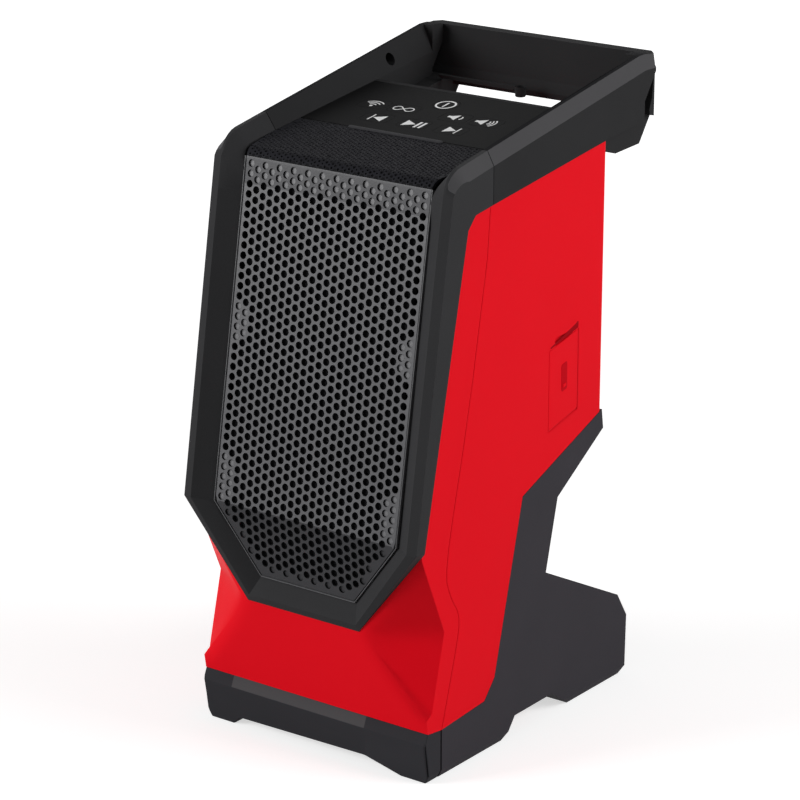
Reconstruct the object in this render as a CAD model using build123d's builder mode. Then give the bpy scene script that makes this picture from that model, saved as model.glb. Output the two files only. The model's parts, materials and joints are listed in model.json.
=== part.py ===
"""A jobsite bluetooth speaker: two red shells, a black frame round a perforated grille,
a carry handle over a sloping key panel, and a C-shaped base with a bay for a stick battery.

Millimetres, +Z up, +X to the right seen from the front, front towards -Y.
The origin lies on the floor, below the middle of the whole object."""
import os
from math import atan2, cos, degrees, radians, sin, tan

from build123d import *

os.makedirs("parts", exist_ok=True)

# Overall sizes
depth = 117.2            # from the foot's front edge back to the rear wall
height = 262.5           # from the floor to the top of the handle
shell_half = 55.8        # half the width over the red shells
grip_proud = 1.3         # how far the black rails and the grille's frame stand out from the shells
foot_inset = 1.8         # how far the foot draws in at the floor
grip_half = shell_half + grip_proud
foot_half = shell_half - foot_inset
grille_half = 44.1       # half the width of the grille
chin_half = 22.9         # half the width of the grille's lower edge

# Walls and clearances
wall = 2.5
fit = 0.15               # gap round a key or a door
clear = 0.3              # gap between pieces that move past each other
joint_gap = 0.3          # open line between the two shells
overrun = 20.0           # cuts run past the surface by this much

# Thicknesses of the pieces stacked behind the face and the deck
grille_sheet = 1.0
cloth_sheet = 0.6
panel_sheet = 2.0
tray_sheet = 2.5
baffle_sheet = 3.0
board_sheet = 1.6

# Heights of the frame round the grille, above the grille's plane
ridge_rise = 4.4
edge_rise = 3.9
ridge_inset = 4.0
ridge_half = grip_half - ridge_inset
ridge_flat = 0.6
corner_radius = 11.5
frame_low_half = 27.5    # half the width of the frame's lower edge
frame_low_ridge = 26.3
rim_gap = 0.6            # dark gap between the grille and the frame
rim_sink = 1.0

# Rails
rail_in_half = 47.4      # where a rail meets the deck
rail_chamfer = 5.5       # drop of the rail's outer chamfer
rail_chamfer_wide = 3.0
rail_flat = 2.1
rail_top_out = grip_half - rail_chamfer_wide
rail_top_in = rail_top_out - rail_flat

# Outlines in the side view, as shares of depth and height
nose_share = (-0.056, 0.372)
ridge_nose_share = (-0.093, 0.373)
frame_back_shares = [(-0.042, 0.371), (0.166, 0.788), (0.194, 0.845), (0.320, 0.853)]
chin_shares = [(-0.007, 0.082), (-0.061, 0.227)]
frame_foot_share = (-0.017, 0.227)
grille_foot_share = (-0.038, 0.268)
ridge_apex_share = (0.111, 0.914)
ridge_seam_share = (0.324, 0.931)
ridge_rear_share = (1.246, 1.000)
ridge_low_share = 0.238
corner_back_shares = [(0.186, 0.828), (0.226, 0.847)]
corner_crest_share = (0.080, 0.836)
rail_low_shares = [(0.320, 0.853), (0.985, 0.892), (1.197, 0.902)]
deck_shares = [(0.328, 0.907), (0.862, 0.938), (0.997, 0.899)]
panel_front_share = 0.456
seam_shares = [
    (0.068, 0.000), (0.068, 0.078), (0.153, 0.205), (0.168, 0.246), (0.112, 0.281),
    (0.080, 0.325), (0.179, 0.501), (0.230, 0.602), (0.305, 0.775), (0.321, 0.853),
]
skirt_shares = [(0.997, 0.466), (0.523, 0.384), (0.369, 0.115), (0.311, 0.085), (0.068, 0.078)]
underside_shares = [(1.007, 0.435), (0.734, 0.357)]
heel_shares = [(0.669, 0.243), (1.124, 0.142), (1.184, 0.100), (1.180, 0.013), (1.160, 0.000)]
arch_shares = [(0.834, 0.000), (0.717, 0.035), (0.493, 0.034), (0.433, 0.000)]
rail_end_shares = [(1.206, 0.917), (1.206, 0.932), (1.272, 0.974), (1.272, 0.998)]
gusset_shares = [
    (1.003, 0.876), (1.070, 0.861), (1.217, 0.864), (1.292, 0.910), (1.288, 0.921), (1.207, 0.921),
    (1.003, 0.907),
]
crossbar_shares = [
    (1.270, 0.998), (1.314, 0.999), (1.314, 0.918), (1.305, 0.901), (1.246, 0.907),
    (1.242, 0.916), (1.257, 0.933),
]
scoop_shares = [(-0.046, 0.362), (0.081, 0.232), (0.014, 0.112), (-0.026, 0.101)]
door_shares = [(0.670, 0.594), (0.841, 0.612), (0.841, 0.485), (0.670, 0.467)]


def spot(share):
    """A place in the side view: how far back and how high."""
    return (depth * share[0], height * share[1])


def spots(shares):
    return [spot(share) for share in shares]


def slope(low, high):
    """The angle in degrees of the line between two places in the side view."""
    return degrees(atan2(high[1] - low[1], high[0] - low[0]))


def blend(first, last, share):
    return first + (last - first) * share


def blend_spot(first, last, share):
    return (blend(first[0], last[0], share), blend(first[1], last[1], share))


def eased(points, rounds=2):
    """A line with its inner corners cut, once for each round."""
    for _ in range(rounds):
        inner = []
        for first, second in zip(points, points[1:]):
            inner += [blend_spot(first, second, 0.25), blend_spot(first, second, 0.75)]
        points = points[:1] + inner[1:-1] + points[-1:]
    return points


def level_on(low, high, back):
    """How high the line through two places runs at a given depth."""
    return low[1] + (back - low[0]) * (high[1] - low[1]) / (high[0] - low[0])


nose = spot(nose_share)
ridge_nose = spot(ridge_nose_share)
ridge_apex = spot(ridge_apex_share)
ridge_seam = spot(ridge_seam_share)
ridge_rear = spot(ridge_rear_share)
ridge_low = height * ridge_low_share
frame_back = spots(frame_back_shares)
frame_foot = spot(frame_foot_share)
grille_foot = spot(grille_foot_share)
chin = spots(chin_shares)
seam = spots(seam_shares)
seam = seam[:1] + eased(seam[1:7]) + seam[7:]
skirt = spots(skirt_shares)
underside = spots(underside_shares)
heel = spots(heel_shares)
arch = spots(arch_shares)
deck_front, deck_rear, deck_back = spots(deck_shares)
rail_low = spots(rail_low_shares)
back_wall = depth
seam_top = seam[-1]
bumper_top = seam[1][1]

face_angle = slope(ridge_nose, ridge_apex)
chin_angle = slope(nose, grille_foot)
deck_angle = slope(deck_front, deck_rear)
shell_angle = slope(frame_back[0], frame_back[1])
underside_angle = slope(underside[1], underside[0])

# The outline stands so that its middle is over the origin
middle = (ridge_nose[0] + spot(crossbar_shares[1])[0]) / 2


def raked(place, angle):
    """A plane whose Y axis climbs at an angle in the side view, facing forward or up."""
    lean = radians(angle)
    return Plane(
        origin=(0, place[0] - middle, place[1]),
        x_dir=(1, 0, 0),
        z_dir=(0, -sin(lean), cos(lean)),
    )


side_view = Plane(origin=(0, -middle, 0), x_dir=(0, 1, 0), z_dir=(1, 0, 0))
front_view = Plane(origin=(0, -middle, 0), x_dir=(1, 0, 0), z_dir=(0, -1, 0))
face_plane = raked(nose, face_angle)
chin_plane = raked(nose, chin_angle + 180)
deck_plane = raked(deck_front, deck_angle)
shell_plane = raked(frame_back[0], shell_angle)
bay_centre = tuple((low + high) / 2 for low, high in zip(*underside))
bay_plane = raked(bay_centre, underside_angle + 180)


def outline(plane, points, grow=0):
    """A face on a plane from its corners, grown or shrunk all round."""
    with BuildSketch(plane) as drawn:
        with BuildLine():
            Polyline(points, close=True)
        make_face()
        if grow:
            offset(amount=grow, kind=Kind.INTERSECTION, mode=Mode.REPLACE)
    return drawn.sketch


def prism(plane, points, low, high, mode=Mode.ADD, grow=0):
    """A prism on a plane, between two distances along its normal."""
    extrude(outline(plane.offset(low), points, grow), amount=high - low, mode=mode)


def block(plane, centre, size, low, high, mode=Mode.ADD, corner=0):
    """A block on a plane, between two distances along its normal."""
    with BuildSketch(plane.offset(low)) as drawn:
        with Locations(centre):
            if corner:
                RectangleRounded(size[0], size[1], corner)
            else:
                Rectangle(size[0], size[1])
    extrude(drawn.sketch, amount=high - low, mode=mode)


def pegs(plane, centres, radius, low, high, mode=Mode.ADD):
    """Round pegs or holes on a plane, between two distances along its normal."""
    with BuildSketch(plane.offset(low)) as drawn:
        with Locations(*centres):
            Circle(radius)
    extrude(drawn.sketch, amount=high - low, mode=mode)


def across(points, half, mode=Mode.ADD):
    """A prism of a side outline, right across the middle."""
    prism(side_view, points, -half, half, mode)


def mirrored(points):
    return points + [(-x, y) for x, y in reversed(points)]


def keep(builder, name):
    builder.part.label = name
    export_step(builder.part, f"parts/{name}.step")


def along(plane, x, y):
    """The depth and height of a place on a plane, in the side view."""
    place = plane.from_local_coords((x, y, 0))
    return (place.Y + middle, place.Z)


def section(plane, inner, crest, outer, reach, sink, drop):
    """A flat section of the frame: inner wall, slope, ridge, outer land and side."""
    return outline(plane, [
        (inner, 0),
        (inner, reach - sink),
        (crest[0], reach),
        (crest[1], reach),
        (outer, reach - drop),
        (outer, 0),
    ])


def side_section(base, crest, inner, tops, sink, drop):
    """A section through the frame's side, from a place on its back to one on its ridge."""
    run, rise = crest[0] - base[0], crest[1] - base[1]
    plane = Plane(origin=(0, base[0] - middle, base[1]), x_dir=(1, 0, 0), z_dir=(0, -rise, run))
    return section(plane, inner, tops, grip_half, (run ** 2 + rise ** 2) ** 0.5, sink, drop)


def chin_front(level, rise):
    """How far back a face lies that is parallel to the grille's chin and in front of it."""
    lean = radians(chin_angle)
    return nose[0] + (level - nose[1]) / tan(lean) - rise / abs(sin(lean))


def chin_section(half_in, half_out):
    """A section through the frame's chin, upright and square to its lower edge."""
    low = frame_foot[1]
    top = grille_foot[1] - rim_gap
    run, drop = half_out - half_in, top - low
    length = (run ** 2 + drop ** 2) ** 0.5
    crest = length * (top - ridge_low) / drop
    plane = Plane(
        origin=(half_in, frame_foot[0] - middle, top),
        x_dir=(run, 0, -drop),
        z_dir=(-drop, 0, -run),
    )
    base = frame_foot[0]
    return outline(plane, [
        (0, 0),
        (0, base - chin_front(top, -rim_sink)),
        (crest - ridge_flat / 2, base - chin_front(ridge_low, ridge_rise)),
        (crest + ridge_flat / 2, base - chin_front(ridge_low, ridge_rise)),
        (length, base - chin_front(low, edge_rise)),
        (length, 0),
    ])


def turned(plane, centre, points, mode=Mode.ADD):
    """A ring or disc turned about a plane's normal, from its radii and its distances off the plane."""
    origin = plane.from_local_coords((centre[0], centre[1], 0))
    half_plane = Plane(origin=origin, x_dir=plane.x_dir, z_dir=plane.x_dir.cross(plane.z_dir))
    revolve(outline(half_plane, points), axis=Axis(origin, plane.z_dir), mode=mode)


def back_on(points, level):
    """How far back a rising outline lies at a level."""
    for low, high in zip(points, points[1:]):
        if min(low[1], high[1]) <= level <= max(low[1], high[1]):
            return blend(low[0], high[0], (level - low[1]) / (high[1] - low[1]))
    return points[-1][0]


def meet(first, first_angle, second, second_angle):
    """Where two lines in the side view cross."""
    first_run, first_rise = cos(radians(first_angle)), sin(radians(first_angle))
    second_run, second_rise = cos(radians(second_angle)), sin(radians(second_angle))
    gap_run, gap_rise = second[0] - first[0], second[1] - first[1]
    across_both = first_run * second_rise - first_rise * second_run
    reach = (gap_run * second_rise - gap_rise * second_run) / across_both
    return (first[0] + reach * first_run, first[1] + reach * first_rise)


def beside(place, angle, reach, rise):
    """A place in the side view, some way along a direction and off to its left."""
    lean = radians(angle)
    return (
        place[0] + reach * cos(lean) - rise * sin(lean),
        place[1] + reach * sin(lean) + rise * cos(lean),
    )


# The black frame round the grille, from the seam over the corner and down to the chin
rail_rise = radians(slope(ridge_apex, ridge_seam))
face_rise = radians(face_angle)
corner_turn = face_rise - rail_rise
corner_reach = corner_radius * tan(corner_turn / 2)
corner_start = beside(ridge_apex, face_angle, -corner_reach, 0)
corner_hub = beside(corner_start, face_angle, 0, -corner_radius)
corner_steps = 6
corner_back = spots(corner_back_shares)
corner_crest = spot(corner_crest_share)
frame_in_half = grille_half + rim_gap
face_sink = ridge_rise + rim_sink
edge_drop = ridge_rise - edge_rise
face_tops = (ridge_half - ridge_flat / 2, ridge_half + ridge_flat / 2)
rail_tops = (rail_top_in, rail_top_out)


def ridge_at(back):
    return min(level_on(ridge_apex, ridge_seam, back), ridge_rear[1])


def deck_at(back, rise=0):
    return level_on(deck_front, deck_rear, back) + rise / cos(radians(deck_angle))


def rail_section(back, low):
    """An upright section through a rail."""
    return side_section(
        (back, low), (back, ridge_at(back)), rail_in_half, rail_tops,
        ridge_at(back) - deck_at(back), rail_chamfer,
    )


with BuildPart() as grille_bezel:
    frame_sections = [rail_section(seam_top[0], seam_top[1])]
    for step in range(corner_steps + 1):
        share = 1 - step / corner_steps
        swing = blend(face_angle, degrees(rail_rise), share)
        frame_sections.append(
            side_section(
                blend_spot(corner_back[0], corner_back[1], (share * corner_steps + 1) / (corner_steps + 1)),
                beside(corner_hub, swing, 0, corner_radius),
                blend(frame_in_half, rail_in_half, share),
                [blend(low, high, share) for low, high in zip(face_tops, rail_tops)],
                blend(face_sink, ridge_at(corner_hub[0]) - deck_at(corner_hub[0]), share),
                blend(edge_drop, rail_chamfer, share),
            )
        )
    for base, crest in ((corner_back[0], corner_crest), (frame_back[0], ridge_nose)):
        frame_sections.append(side_section(base, crest, frame_in_half, face_tops, face_sink, edge_drop))
    frame_sections.append(chin_section(chin_half + rim_gap, frame_low_half))
    frame_sections.append(chin_section(0, 0))
    loft(sections=frame_sections, ruled=True)
    mirror(about=Plane.YZ)
keep(grille_bezel, "grille_bezel")

# The red front shell with its scooped chin
scoop = spots(scoop_shares)
scoop_end_shares = [(-0.080, 0.242), (-0.062, 0.231), (-0.064, 0.217), (-0.080, 0.213)]
scoop_in_half = chin_half + wall * 3
scoop_rim, scoop_end = [
    points + [(-overrun, points[3][1]), (-overrun, points[0][1])]
    for points in (scoop, spots(scoop_end_shares))
]
scoop_back = scoop[1][0] + wall
shell_in = shell_half - wall
floor_top = chin[0][1] + wall
chin_core_half = chin_half + wall * 2
window_lap = 3.0
window_top = frame_back[2][1] - wall * 3.5
front_top = frame_back[2][1] - wall
boss_radius = 4.0
screw_radius = 1.5
driver_head = 2.0
driver_shank = 1.0
pillar_side_share = 0.842
pillar_side = shell_half * pillar_side_share
pillar_level_shares = (0.485, 0.812)
pillar_levels = [height * share for share in pillar_level_shares]
nose_top = nose[1] + wall / 5

with BuildPart() as frame_pocket:
    pocket_front = frame_foot[0] - overrun
    pocket_sides = mirrored([(frame_low_half, frame_foot[1]), (grip_half, frame_back[0][1])])
    prism(front_view, pocket_sides, -overrun, overrun)
    across(
        [frame_foot, frame_back[0], (pocket_front, frame_back[0][1]), (pocket_front, frame_foot[1])],
        grip_half,
        Mode.INTERSECT,
    )

with BuildPart() as front_shell:
    across(chin + frame_back[:2] + corner_back[:1] + frame_back[2:] + seam[:0:-1], shell_half)
    add(frame_pocket.part, mode=Mode.SUBTRACT)
    for facing in (1, -1):
        loft(
            sections=[
                outline(side_view.offset(facing * half), hollow)
                for half, hollow in ((shell_half, scoop_rim), (scoop_in_half, scoop_end))
            ],
            ruled=True,
            mode=Mode.SUBTRACT,
        )
    inner_front = [(y + wall, z) for y, z in frame_back[:2] + corner_back[:1] + frame_back[2:3]]
    across(
        [
            (scoop_back, floor_top),
            (scoop_back, scoop[0][1] - wall * 6),
            (inner_front[0][0], nose_top),
            (inner_front[1][0], inner_front[1][1]),
            (inner_front[3][0], front_top),
            (depth, front_top),
            (depth, floor_top),
        ],
        shell_in,
        Mode.SUBTRACT,
    )
    across(
        [
            (chin[0][0] + wall, floor_top),
            (frame_foot[0] + wall, frame_foot[1]),
            (inner_front[0][0], nose_top),
            (depth, nose_top),
            (depth, floor_top),
        ],
        chin_core_half,
        Mode.SUBTRACT,
    )
    prism(
        front_view,
        mirrored([
            (chin_half - window_lap, grille_foot[1] + window_lap),
            (grille_half - window_lap, nose[1]),
            (grille_half - window_lap, window_top),
        ]),
        -depth,
        overrun,
        Mode.SUBTRACT,
    )
    for level in pillar_levels:
        places = [(side * pillar_side, level) for side in (1, -1)]
        start, end = back_on(frame_back, level) + wall / 2, back_on(seam[1:], level)
        pegs(front_view, places, boss_radius, -end, -start)
        pegs(front_view, places, screw_radius, -end, -start - wall, Mode.SUBTRACT)
    add(grille_bezel.part, mode=Mode.SUBTRACT)
keep(front_shell, "front_shell")

# The red rear shell with deep screw pillars, an opening for the side door and posts for the board
rear_seam = [(y + joint_gap, z) for y, z in seam]
rear_skirt = [(y, z + joint_gap) for y, z in skirt]
door = spots(door_shares)
door_sheet = 2.0
board_gap = 9.0
board_back = depth - wall - board_gap
board_half = 38.0
board_level_shares = (0.632, 0.846)
board_low, board_high = [height * share for share in board_level_shares]
post_inset = 5.0
post_side = board_half - post_inset
post_levels = (board_low + post_inset, board_high - post_inset)
head_radius = 2.9
back_top = (back_wall, rail_low[1][1])

door_low = (door[3], door[2])
door_middle = blend_spot(door[3], door[2], 0.5)
door_top = blend_spot(door[0], door[1], 0.5)
notch_size = (12.0, 3.6)
notch_deep = 1.4
pin_radius = 0.6
pin_length = door[2][0] - door[3][0] + wall
hinge_drop = door_sheet / 2
door_angle = slope(*door_low)
hinge_spot = beside(door_middle, door_angle, 0, hinge_drop)
hinge_plane = Plane(
    origin=(shell_half - hinge_drop, hinge_spot[0] - middle, hinge_spot[1]),
    x_dir=(1, 0, 0),
    z_dir=(0, cos(radians(door_angle)), sin(radians(door_angle))),
)

with BuildPart() as rear_shell:
    across(rear_seam[1:] + [rail_low[1], back_top] + rear_skirt[:-1], shell_half)
    fillet(
        rear_shell.edges().filter_by(Axis.Z, tolerance=1).filter_by(lambda edge: edge.length > wall * 20),
        radius=wall,
    )
    across(
        [(-overrun, 0), (back_wall - wall, 0), (back_wall - wall, height), (-overrun, height)],
        shell_in,
        Mode.SUBTRACT,
    )
    for level in pillar_levels:
        start = back_on(rear_seam[1:], level)
        places = [(side * pillar_side, level) for side in (1, -1)]
        pegs(front_view, places, boss_radius, -(back_wall - wall), -start)
        pegs(front_view, places, head_radius + clear, -back_wall - overrun, -start - wall * 5, Mode.SUBTRACT)
        pegs(front_view, places, screw_radius + clear, -back_wall, -start + overrun, Mode.SUBTRACT)
    posts = [(side * post_side, level) for side in (1, -1) for level in post_levels]
    pegs(front_view, posts, boss_radius, -(back_wall - wall), -board_back)
    pegs(front_view, posts, screw_radius, -(back_wall - wall), -board_back, Mode.SUBTRACT)
    prism(side_view, door, shell_in - wall, shell_half + overrun, Mode.SUBTRACT, clear)
    pegs(hinge_plane, [(0, 0)], pin_radius, -pin_length / 2, pin_length / 2, Mode.SUBTRACT)
    block(
        side_view, beside(door_top, door_angle, 0, notch_size[1] / 4), notch_size,
        shell_half - notch_deep, shell_half + overrun, Mode.SUBTRACT, notch_size[1] / 3,
    )
keep(rear_shell, "rear_shell")

# The black foot in front, tapering to the floor, raised in the middle
foot_rise = 3.5          # height of the slanted edge along the foot's sides
foot_taper = mirrored([(foot_half, 0), (shell_half, foot_rise), (shell_half, height)])
bumper_lean = 2.8
bevel_rise = 4.6
toe_half = 42.0          # where the foot leaves the floor
toe_relief = [(-38.5, 3.3), (24.7, 4.4)]
pad_sheet = 2.0
front_pad = (7.0, 5.0)
rear_pad = (26.0, 28.0)

with BuildPart() as front_bumper:
    across(
        [(0, 0), (-bumper_lean, chin[0][1] - bevel_rise), chin[0]]
        + [(seam[1][0] - joint_gap, bumper_top), (seam[0][0] - joint_gap, 0)],
        shell_half,
    )
    fillet(
        front_bumper.edges().filter_by(Axis.Z, tolerance=10).group_by(Axis.Y)[0],
        radius=wall / 2,
    )
    prism(front_view, foot_taper, -depth, overrun, Mode.INTERSECT)
    prism(
        front_view, [(-toe_half, 0)] + toe_relief + [(toe_half, 0)],
        -depth, overrun, Mode.SUBTRACT,
    )
    front_pads = [(side * (toe_half + foot_half) / 2, seam[0][0] / 2 - middle) for side in (1, -1)]
    for place in front_pads:
        block(Plane.XY, place, front_pad, 0, pad_sheet, Mode.SUBTRACT)
keep(front_bumper, "front_bumper")

# The black base: neck, heel and the slanted underside that takes the battery
base_wall = 3.0
base_in = foot_half - base_wall
base_outline = [(y + joint_gap, z) for y, z in seam[:2]] + skirt[-2::-1] + underside + heel + arch
bay_wide, bay_tall, bay_deep, bay_wall = 40.0, 30.0, 50.0, 1.8
bay_outer = (bay_wide + bay_wall * 2, bay_tall + bay_wall * 2)
plate_sheet = 1.8
plate_reach = (arch[2][0] + base_wall, arch[1][0] - base_wall)
plate_half = foot_half - wall * 3
plate_centre = (0, sum(plate_reach) / 2 - middle)
plate_size = (plate_half * 2, plate_reach[1] - plate_reach[0])
arch_top = arch[2][1]
rear_pad_side = foot_half / 2
rear_pad_back = (arch[0][0] + heel[-1][0]) / 2 - middle
rear_pads = [(side * rear_pad_side, rear_pad_back) for side in (1, -1)]

with BuildPart() as rear_base:
    across(base_outline, shell_half)
    prism(front_view, foot_taper, -depth * 2, overrun, Mode.INTERSECT)
    with BuildSketch(side_view.offset(-base_in)) as hollow:
        with BuildLine():
            Polyline(base_outline, close=True)
        make_face()
        offset(amount=-base_wall, kind=Kind.INTERSECTION, mode=Mode.REPLACE)
        with BuildLine():
            Polyline(
                (-overrun, underside[1][1] - base_wall),
                (depth * 2, underside[1][1] - base_wall),
                (depth * 2, height),
                (-overrun, height),
                close=True,
            )
        make_face(mode=Mode.SUBTRACT)
    extrude(hollow.sketch, amount=base_in * 2, mode=Mode.SUBTRACT)
    block(bay_plane, (0, 0), [size + fit * 2 for size in bay_outer], -bay_deep, overrun, Mode.SUBTRACT)
    block(Plane.XY.offset(arch_top), plate_centre, plate_size, -overrun, plate_sheet, Mode.SUBTRACT)
    block(
        Plane.XY.offset(arch_top), plate_centre, [size - base_wall * 2 for size in plate_size],
        -overrun, overrun, Mode.SUBTRACT,
    )
    for place in rear_pads:
        block(Plane.XY, place, rear_pad, 0, pad_sheet, Mode.SUBTRACT)
keep(rear_base, "rear_base")

with BuildPart() as base_plate:
    block(
        Plane.XY.offset(arch_top), plate_centre, [size - fit * 2 for size in plate_size],
        0, plate_sheet,
    )
keep(base_plate, "base_plate")

with BuildPart() as foot_pads:
    for place in front_pads:
        block(Plane.XY, place, front_pad, 0, pad_sheet)
    for place in rear_pads:
        block(Plane.XY, place, rear_pad, 0, pad_sheet)
keep(foot_pads, "foot_pads")

# The handle: two rails, the bar between them, the blocks below and the tray under the panel
bar_outline = spots(crossbar_shares)
gusset_outline = spots(gusset_shares)
rail_end = spots(rail_end_shares)
gusset_wide = 14.0
gusset_inset = 3.1
gusset_out = grip_half - gusset_inset
gusset_in = gusset_out - gusset_wide
strap_share = (0.981, 0.962)
strap_spot = spot(strap_share)
strap_radius = 2.5
strap_inset = 2.1
strap_floor = grip_half - strap_inset
bar_end_cut = 5.0        # how far forward the bar's slanted ends run
bar_end_inset = 0.5
bar_end_half = grip_half - bar_end_inset
bar_half = bar_end_half - bar_end_cut
bar_back = bar_outline[1][0]
tray_top = -panel_sheet
tray_low = tray_top - tray_sheet
tray_front = seam_top[0] + joint_gap
lip = 2.2
panel_half = rail_in_half - fit
panel_reach = [
    (depth * share - deck_front[0]) / cos(radians(deck_angle))
    for share in (panel_front_share, deck_shares[1][0])
]
switch_tall = 3.7
stem_reach = 0.5
stem_sink = tray_low - stem_reach
key_travel = 0.5
cap_sheet = 1.3
switch_top = stem_sink - key_travel - clear
board_top = switch_top - switch_tall
control_board_size = (84.0, 34.0)
control_board_shift = 1.0
control_board_place = (0, sum(panel_reach) / 2 - control_board_shift)
control_post_inset = 4.0
control_post_side, control_post_end = [side / 2 - control_post_inset for side in control_board_size]
control_posts = [
    (side * control_post_side, control_board_place[1] + end * control_post_end)
    for side in (1, -1) for end in (1, -1)
]

# Keys: places on the panel as shares of its half width and its length
key_place_shares = {
    "key_previous": (-0.394, 0.254),
    "key_play": (-0.011, 0.254),
    "key_next": (0.365, 0.256),
    "key_wireless": (-0.624, 0.521),
    "key_link": (-0.312, 0.521),
    "key_volume_down": (0.215, 0.517),
    "key_volume_up": (0.530, 0.523),
    "key_power": (-0.046, 0.748),
}
key_size = (13.0, 9.0)
key_corner = 2.0
power_radius = 5.6
stem_radius = 1.4
key_places = {
    name: (rail_in_half * share[0], blend(panel_reach[0], panel_reach[1], share[1]))
    for name, share in key_place_shares.items()
}


def key_caps(name, grow, low, high, mode=Mode.ADD):
    """A key's outline, or the hole round it when it grows."""
    if name == "key_power":
        pegs(deck_plane, [key_places[name]], power_radius + grow, low, high, mode)
    else:
        size = [side + grow * 2 for side in key_size]
        block(deck_plane, key_places[name], size, low, high, mode, key_corner + grow)


rail_stops = [
    (tray_front, level_on(rail_low[0], rail_low[1], tray_front)),
    rail_low[1],
    (rail_end[0][0], rail_low[2][1]),
]

with BuildPart() as handle_frame:
    loft(sections=[rail_section(back, low) for back, low in rail_stops], ruled=True)
    tail_front = rail_end[0][0]
    tail = [(tail_front, rail_low[2][1])] + rail_end + [ridge_rear, (tail_front, ridge_at(tail_front))]
    prism(side_view, tail, rail_in_half, grip_half)
    prism(side_view, bar_outline, 0, bar_end_half)
    prism(
        Plane.XY,
        [
            (bar_half, bar_back - middle),
            (bar_end_half, bar_back - bar_end_cut - middle),
            (bar_end_half, bar_back + overrun - middle),
            (bar_half, bar_back + overrun - middle),
        ],
        0, height + overrun,
        Mode.SUBTRACT,
    )
    prism(
        front_view,
        [
            (rail_top_out, ridge_rear[1]),
            (grip_half, ridge_rear[1] - rail_chamfer),
            (grip_half + overrun, ridge_rear[1] - rail_chamfer),
            (rail_top_out, ridge_rear[1] + overrun),
        ],
        -rail_end[2][0] - overrun, -tail_front,
        Mode.SUBTRACT,
    )
    prism(side_view, gusset_outline, gusset_in, gusset_out)
    pegs(side_view, [strap_spot], strap_radius, strap_floor - wall * 4, strap_floor, Mode.SUBTRACT)
    mirror(about=Plane.YZ)
    lip_front = deck_rear[0] + fit + panel_sheet * sin(radians(deck_angle))
    deck_lip = (lip_front + lip, deck_at(lip_front + lip))
    across(
        [
            (tray_front, deck_at(tray_front, tray_top)),
            (lip_front, deck_at(lip_front, tray_top)),
            (lip_front, deck_at(lip_front)),
            deck_lip,
            deck_back,
            (deck_back[0], back_top[1]),
            (back_wall - wall, back_top[1]),
            (deck_lip[0] - lip, deck_at(deck_rear[0], tray_low)),
            (tray_front, deck_at(tray_front, tray_low)),
        ],
        rail_in_half + wall / 2,
    )
    pegs(deck_plane, control_posts, boss_radius / 2, board_top, tray_low)
    post_hole_top = board_top + wall * 2 - board_sheet
    pegs(deck_plane, control_posts, driver_shank, board_top, post_hole_top, Mode.SUBTRACT)
    for place in key_places.values():
        pegs(deck_plane, [place], stem_radius + clear, tray_low - wall, 0, Mode.SUBTRACT)
keep(handle_frame, "handle_frame")

with BuildPart() as control_panel:
    block(
        deck_plane, (0, sum(panel_reach) / 2), (panel_half * 2, panel_reach[1] - panel_reach[0]),
        -panel_sheet, 0,
    )
    for name in key_places:
        key_caps(name, fit, -panel_sheet, 0, Mode.SUBTRACT)
keep(control_panel, "control_panel")

for name, place in key_places.items():
    with BuildPart() as key:
        key_caps(name, 0, -cap_sheet, 0)
        pegs(deck_plane, [place], stem_radius, stem_sink, -cap_sheet)
    keep(key, name)

with BuildPart() as control_board:
    block(deck_plane, control_board_place, control_board_size, board_top - board_sheet, board_top)
    pegs(deck_plane, control_posts, driver_shank, board_top - board_sheet, board_top, Mode.SUBTRACT)
keep(control_board, "control_board")

switch_size = 6.0
plunger_tall = 1.0
with BuildPart() as key_switches:
    for place in key_places.values():
        block(deck_plane, place, (switch_size, switch_size), board_top, switch_top - plunger_tall)
        pegs(deck_plane, [place], stem_radius, switch_top - plunger_tall, switch_top)
keep(key_switches, "key_switches")

light_size = (45.0, 1.6)
light_place = (0, panel_reach[0] - light_size[1] / 2 - fit)
with BuildPart() as light_bar:
    block(deck_plane, light_place, light_size, -panel_sheet, cap_sheet / 2)
keep(light_bar, "light_bar")

# The perforated grille: a lower part below the nose, the face, and the bend back to the panel
pitch = 4.0
hole_radius = 1.4
bend_radius = 5.0
blind_rows = 3
column_gap = pitch * cos(radians(30))
bend_apex = meet(nose, face_angle, deck_front, deck_angle)
bend_reach = bend_radius * tan(radians(face_angle - deck_angle) / 2) + grille_sheet
face_length = ((bend_apex[0] - nose[0]) ** 2 + (bend_apex[1] - nose[1]) ** 2) ** 0.5 - bend_reach
chin_length = ((grille_foot[0] - nose[0]) ** 2 + (grille_foot[1] - nose[1]) ** 2) ** 0.5
deck_end = beside(deck_front, deck_angle, panel_reach[0] - light_size[1] - fit * 2, 0)


def holes(low, high, half_at):
    """Staggered columns of holes, kept inside a width that may change with height."""
    columns = int(grille_half / column_gap)
    rows = int((high - low) / pitch) + 1
    places = []
    for column in range(-columns, columns + 1):
        for row in range(rows):
            x = column * column_gap
            y = low + (row + (column % 2) / 2) * pitch
            if abs(x) < half_at(y) and y < high:
                places.append((x, y))
    return places


def perforated(plane, points, places):
    with BuildPart() as sheet:
        with BuildSketch(plane) as drawn:
            with BuildLine():
                Polyline(points, close=True)
            make_face()
            with Locations(*places):
                Circle(hole_radius, mode=Mode.SUBTRACT)
        extrude(drawn.sketch, amount=-grille_sheet, clean=False)
    return sheet.part


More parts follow.
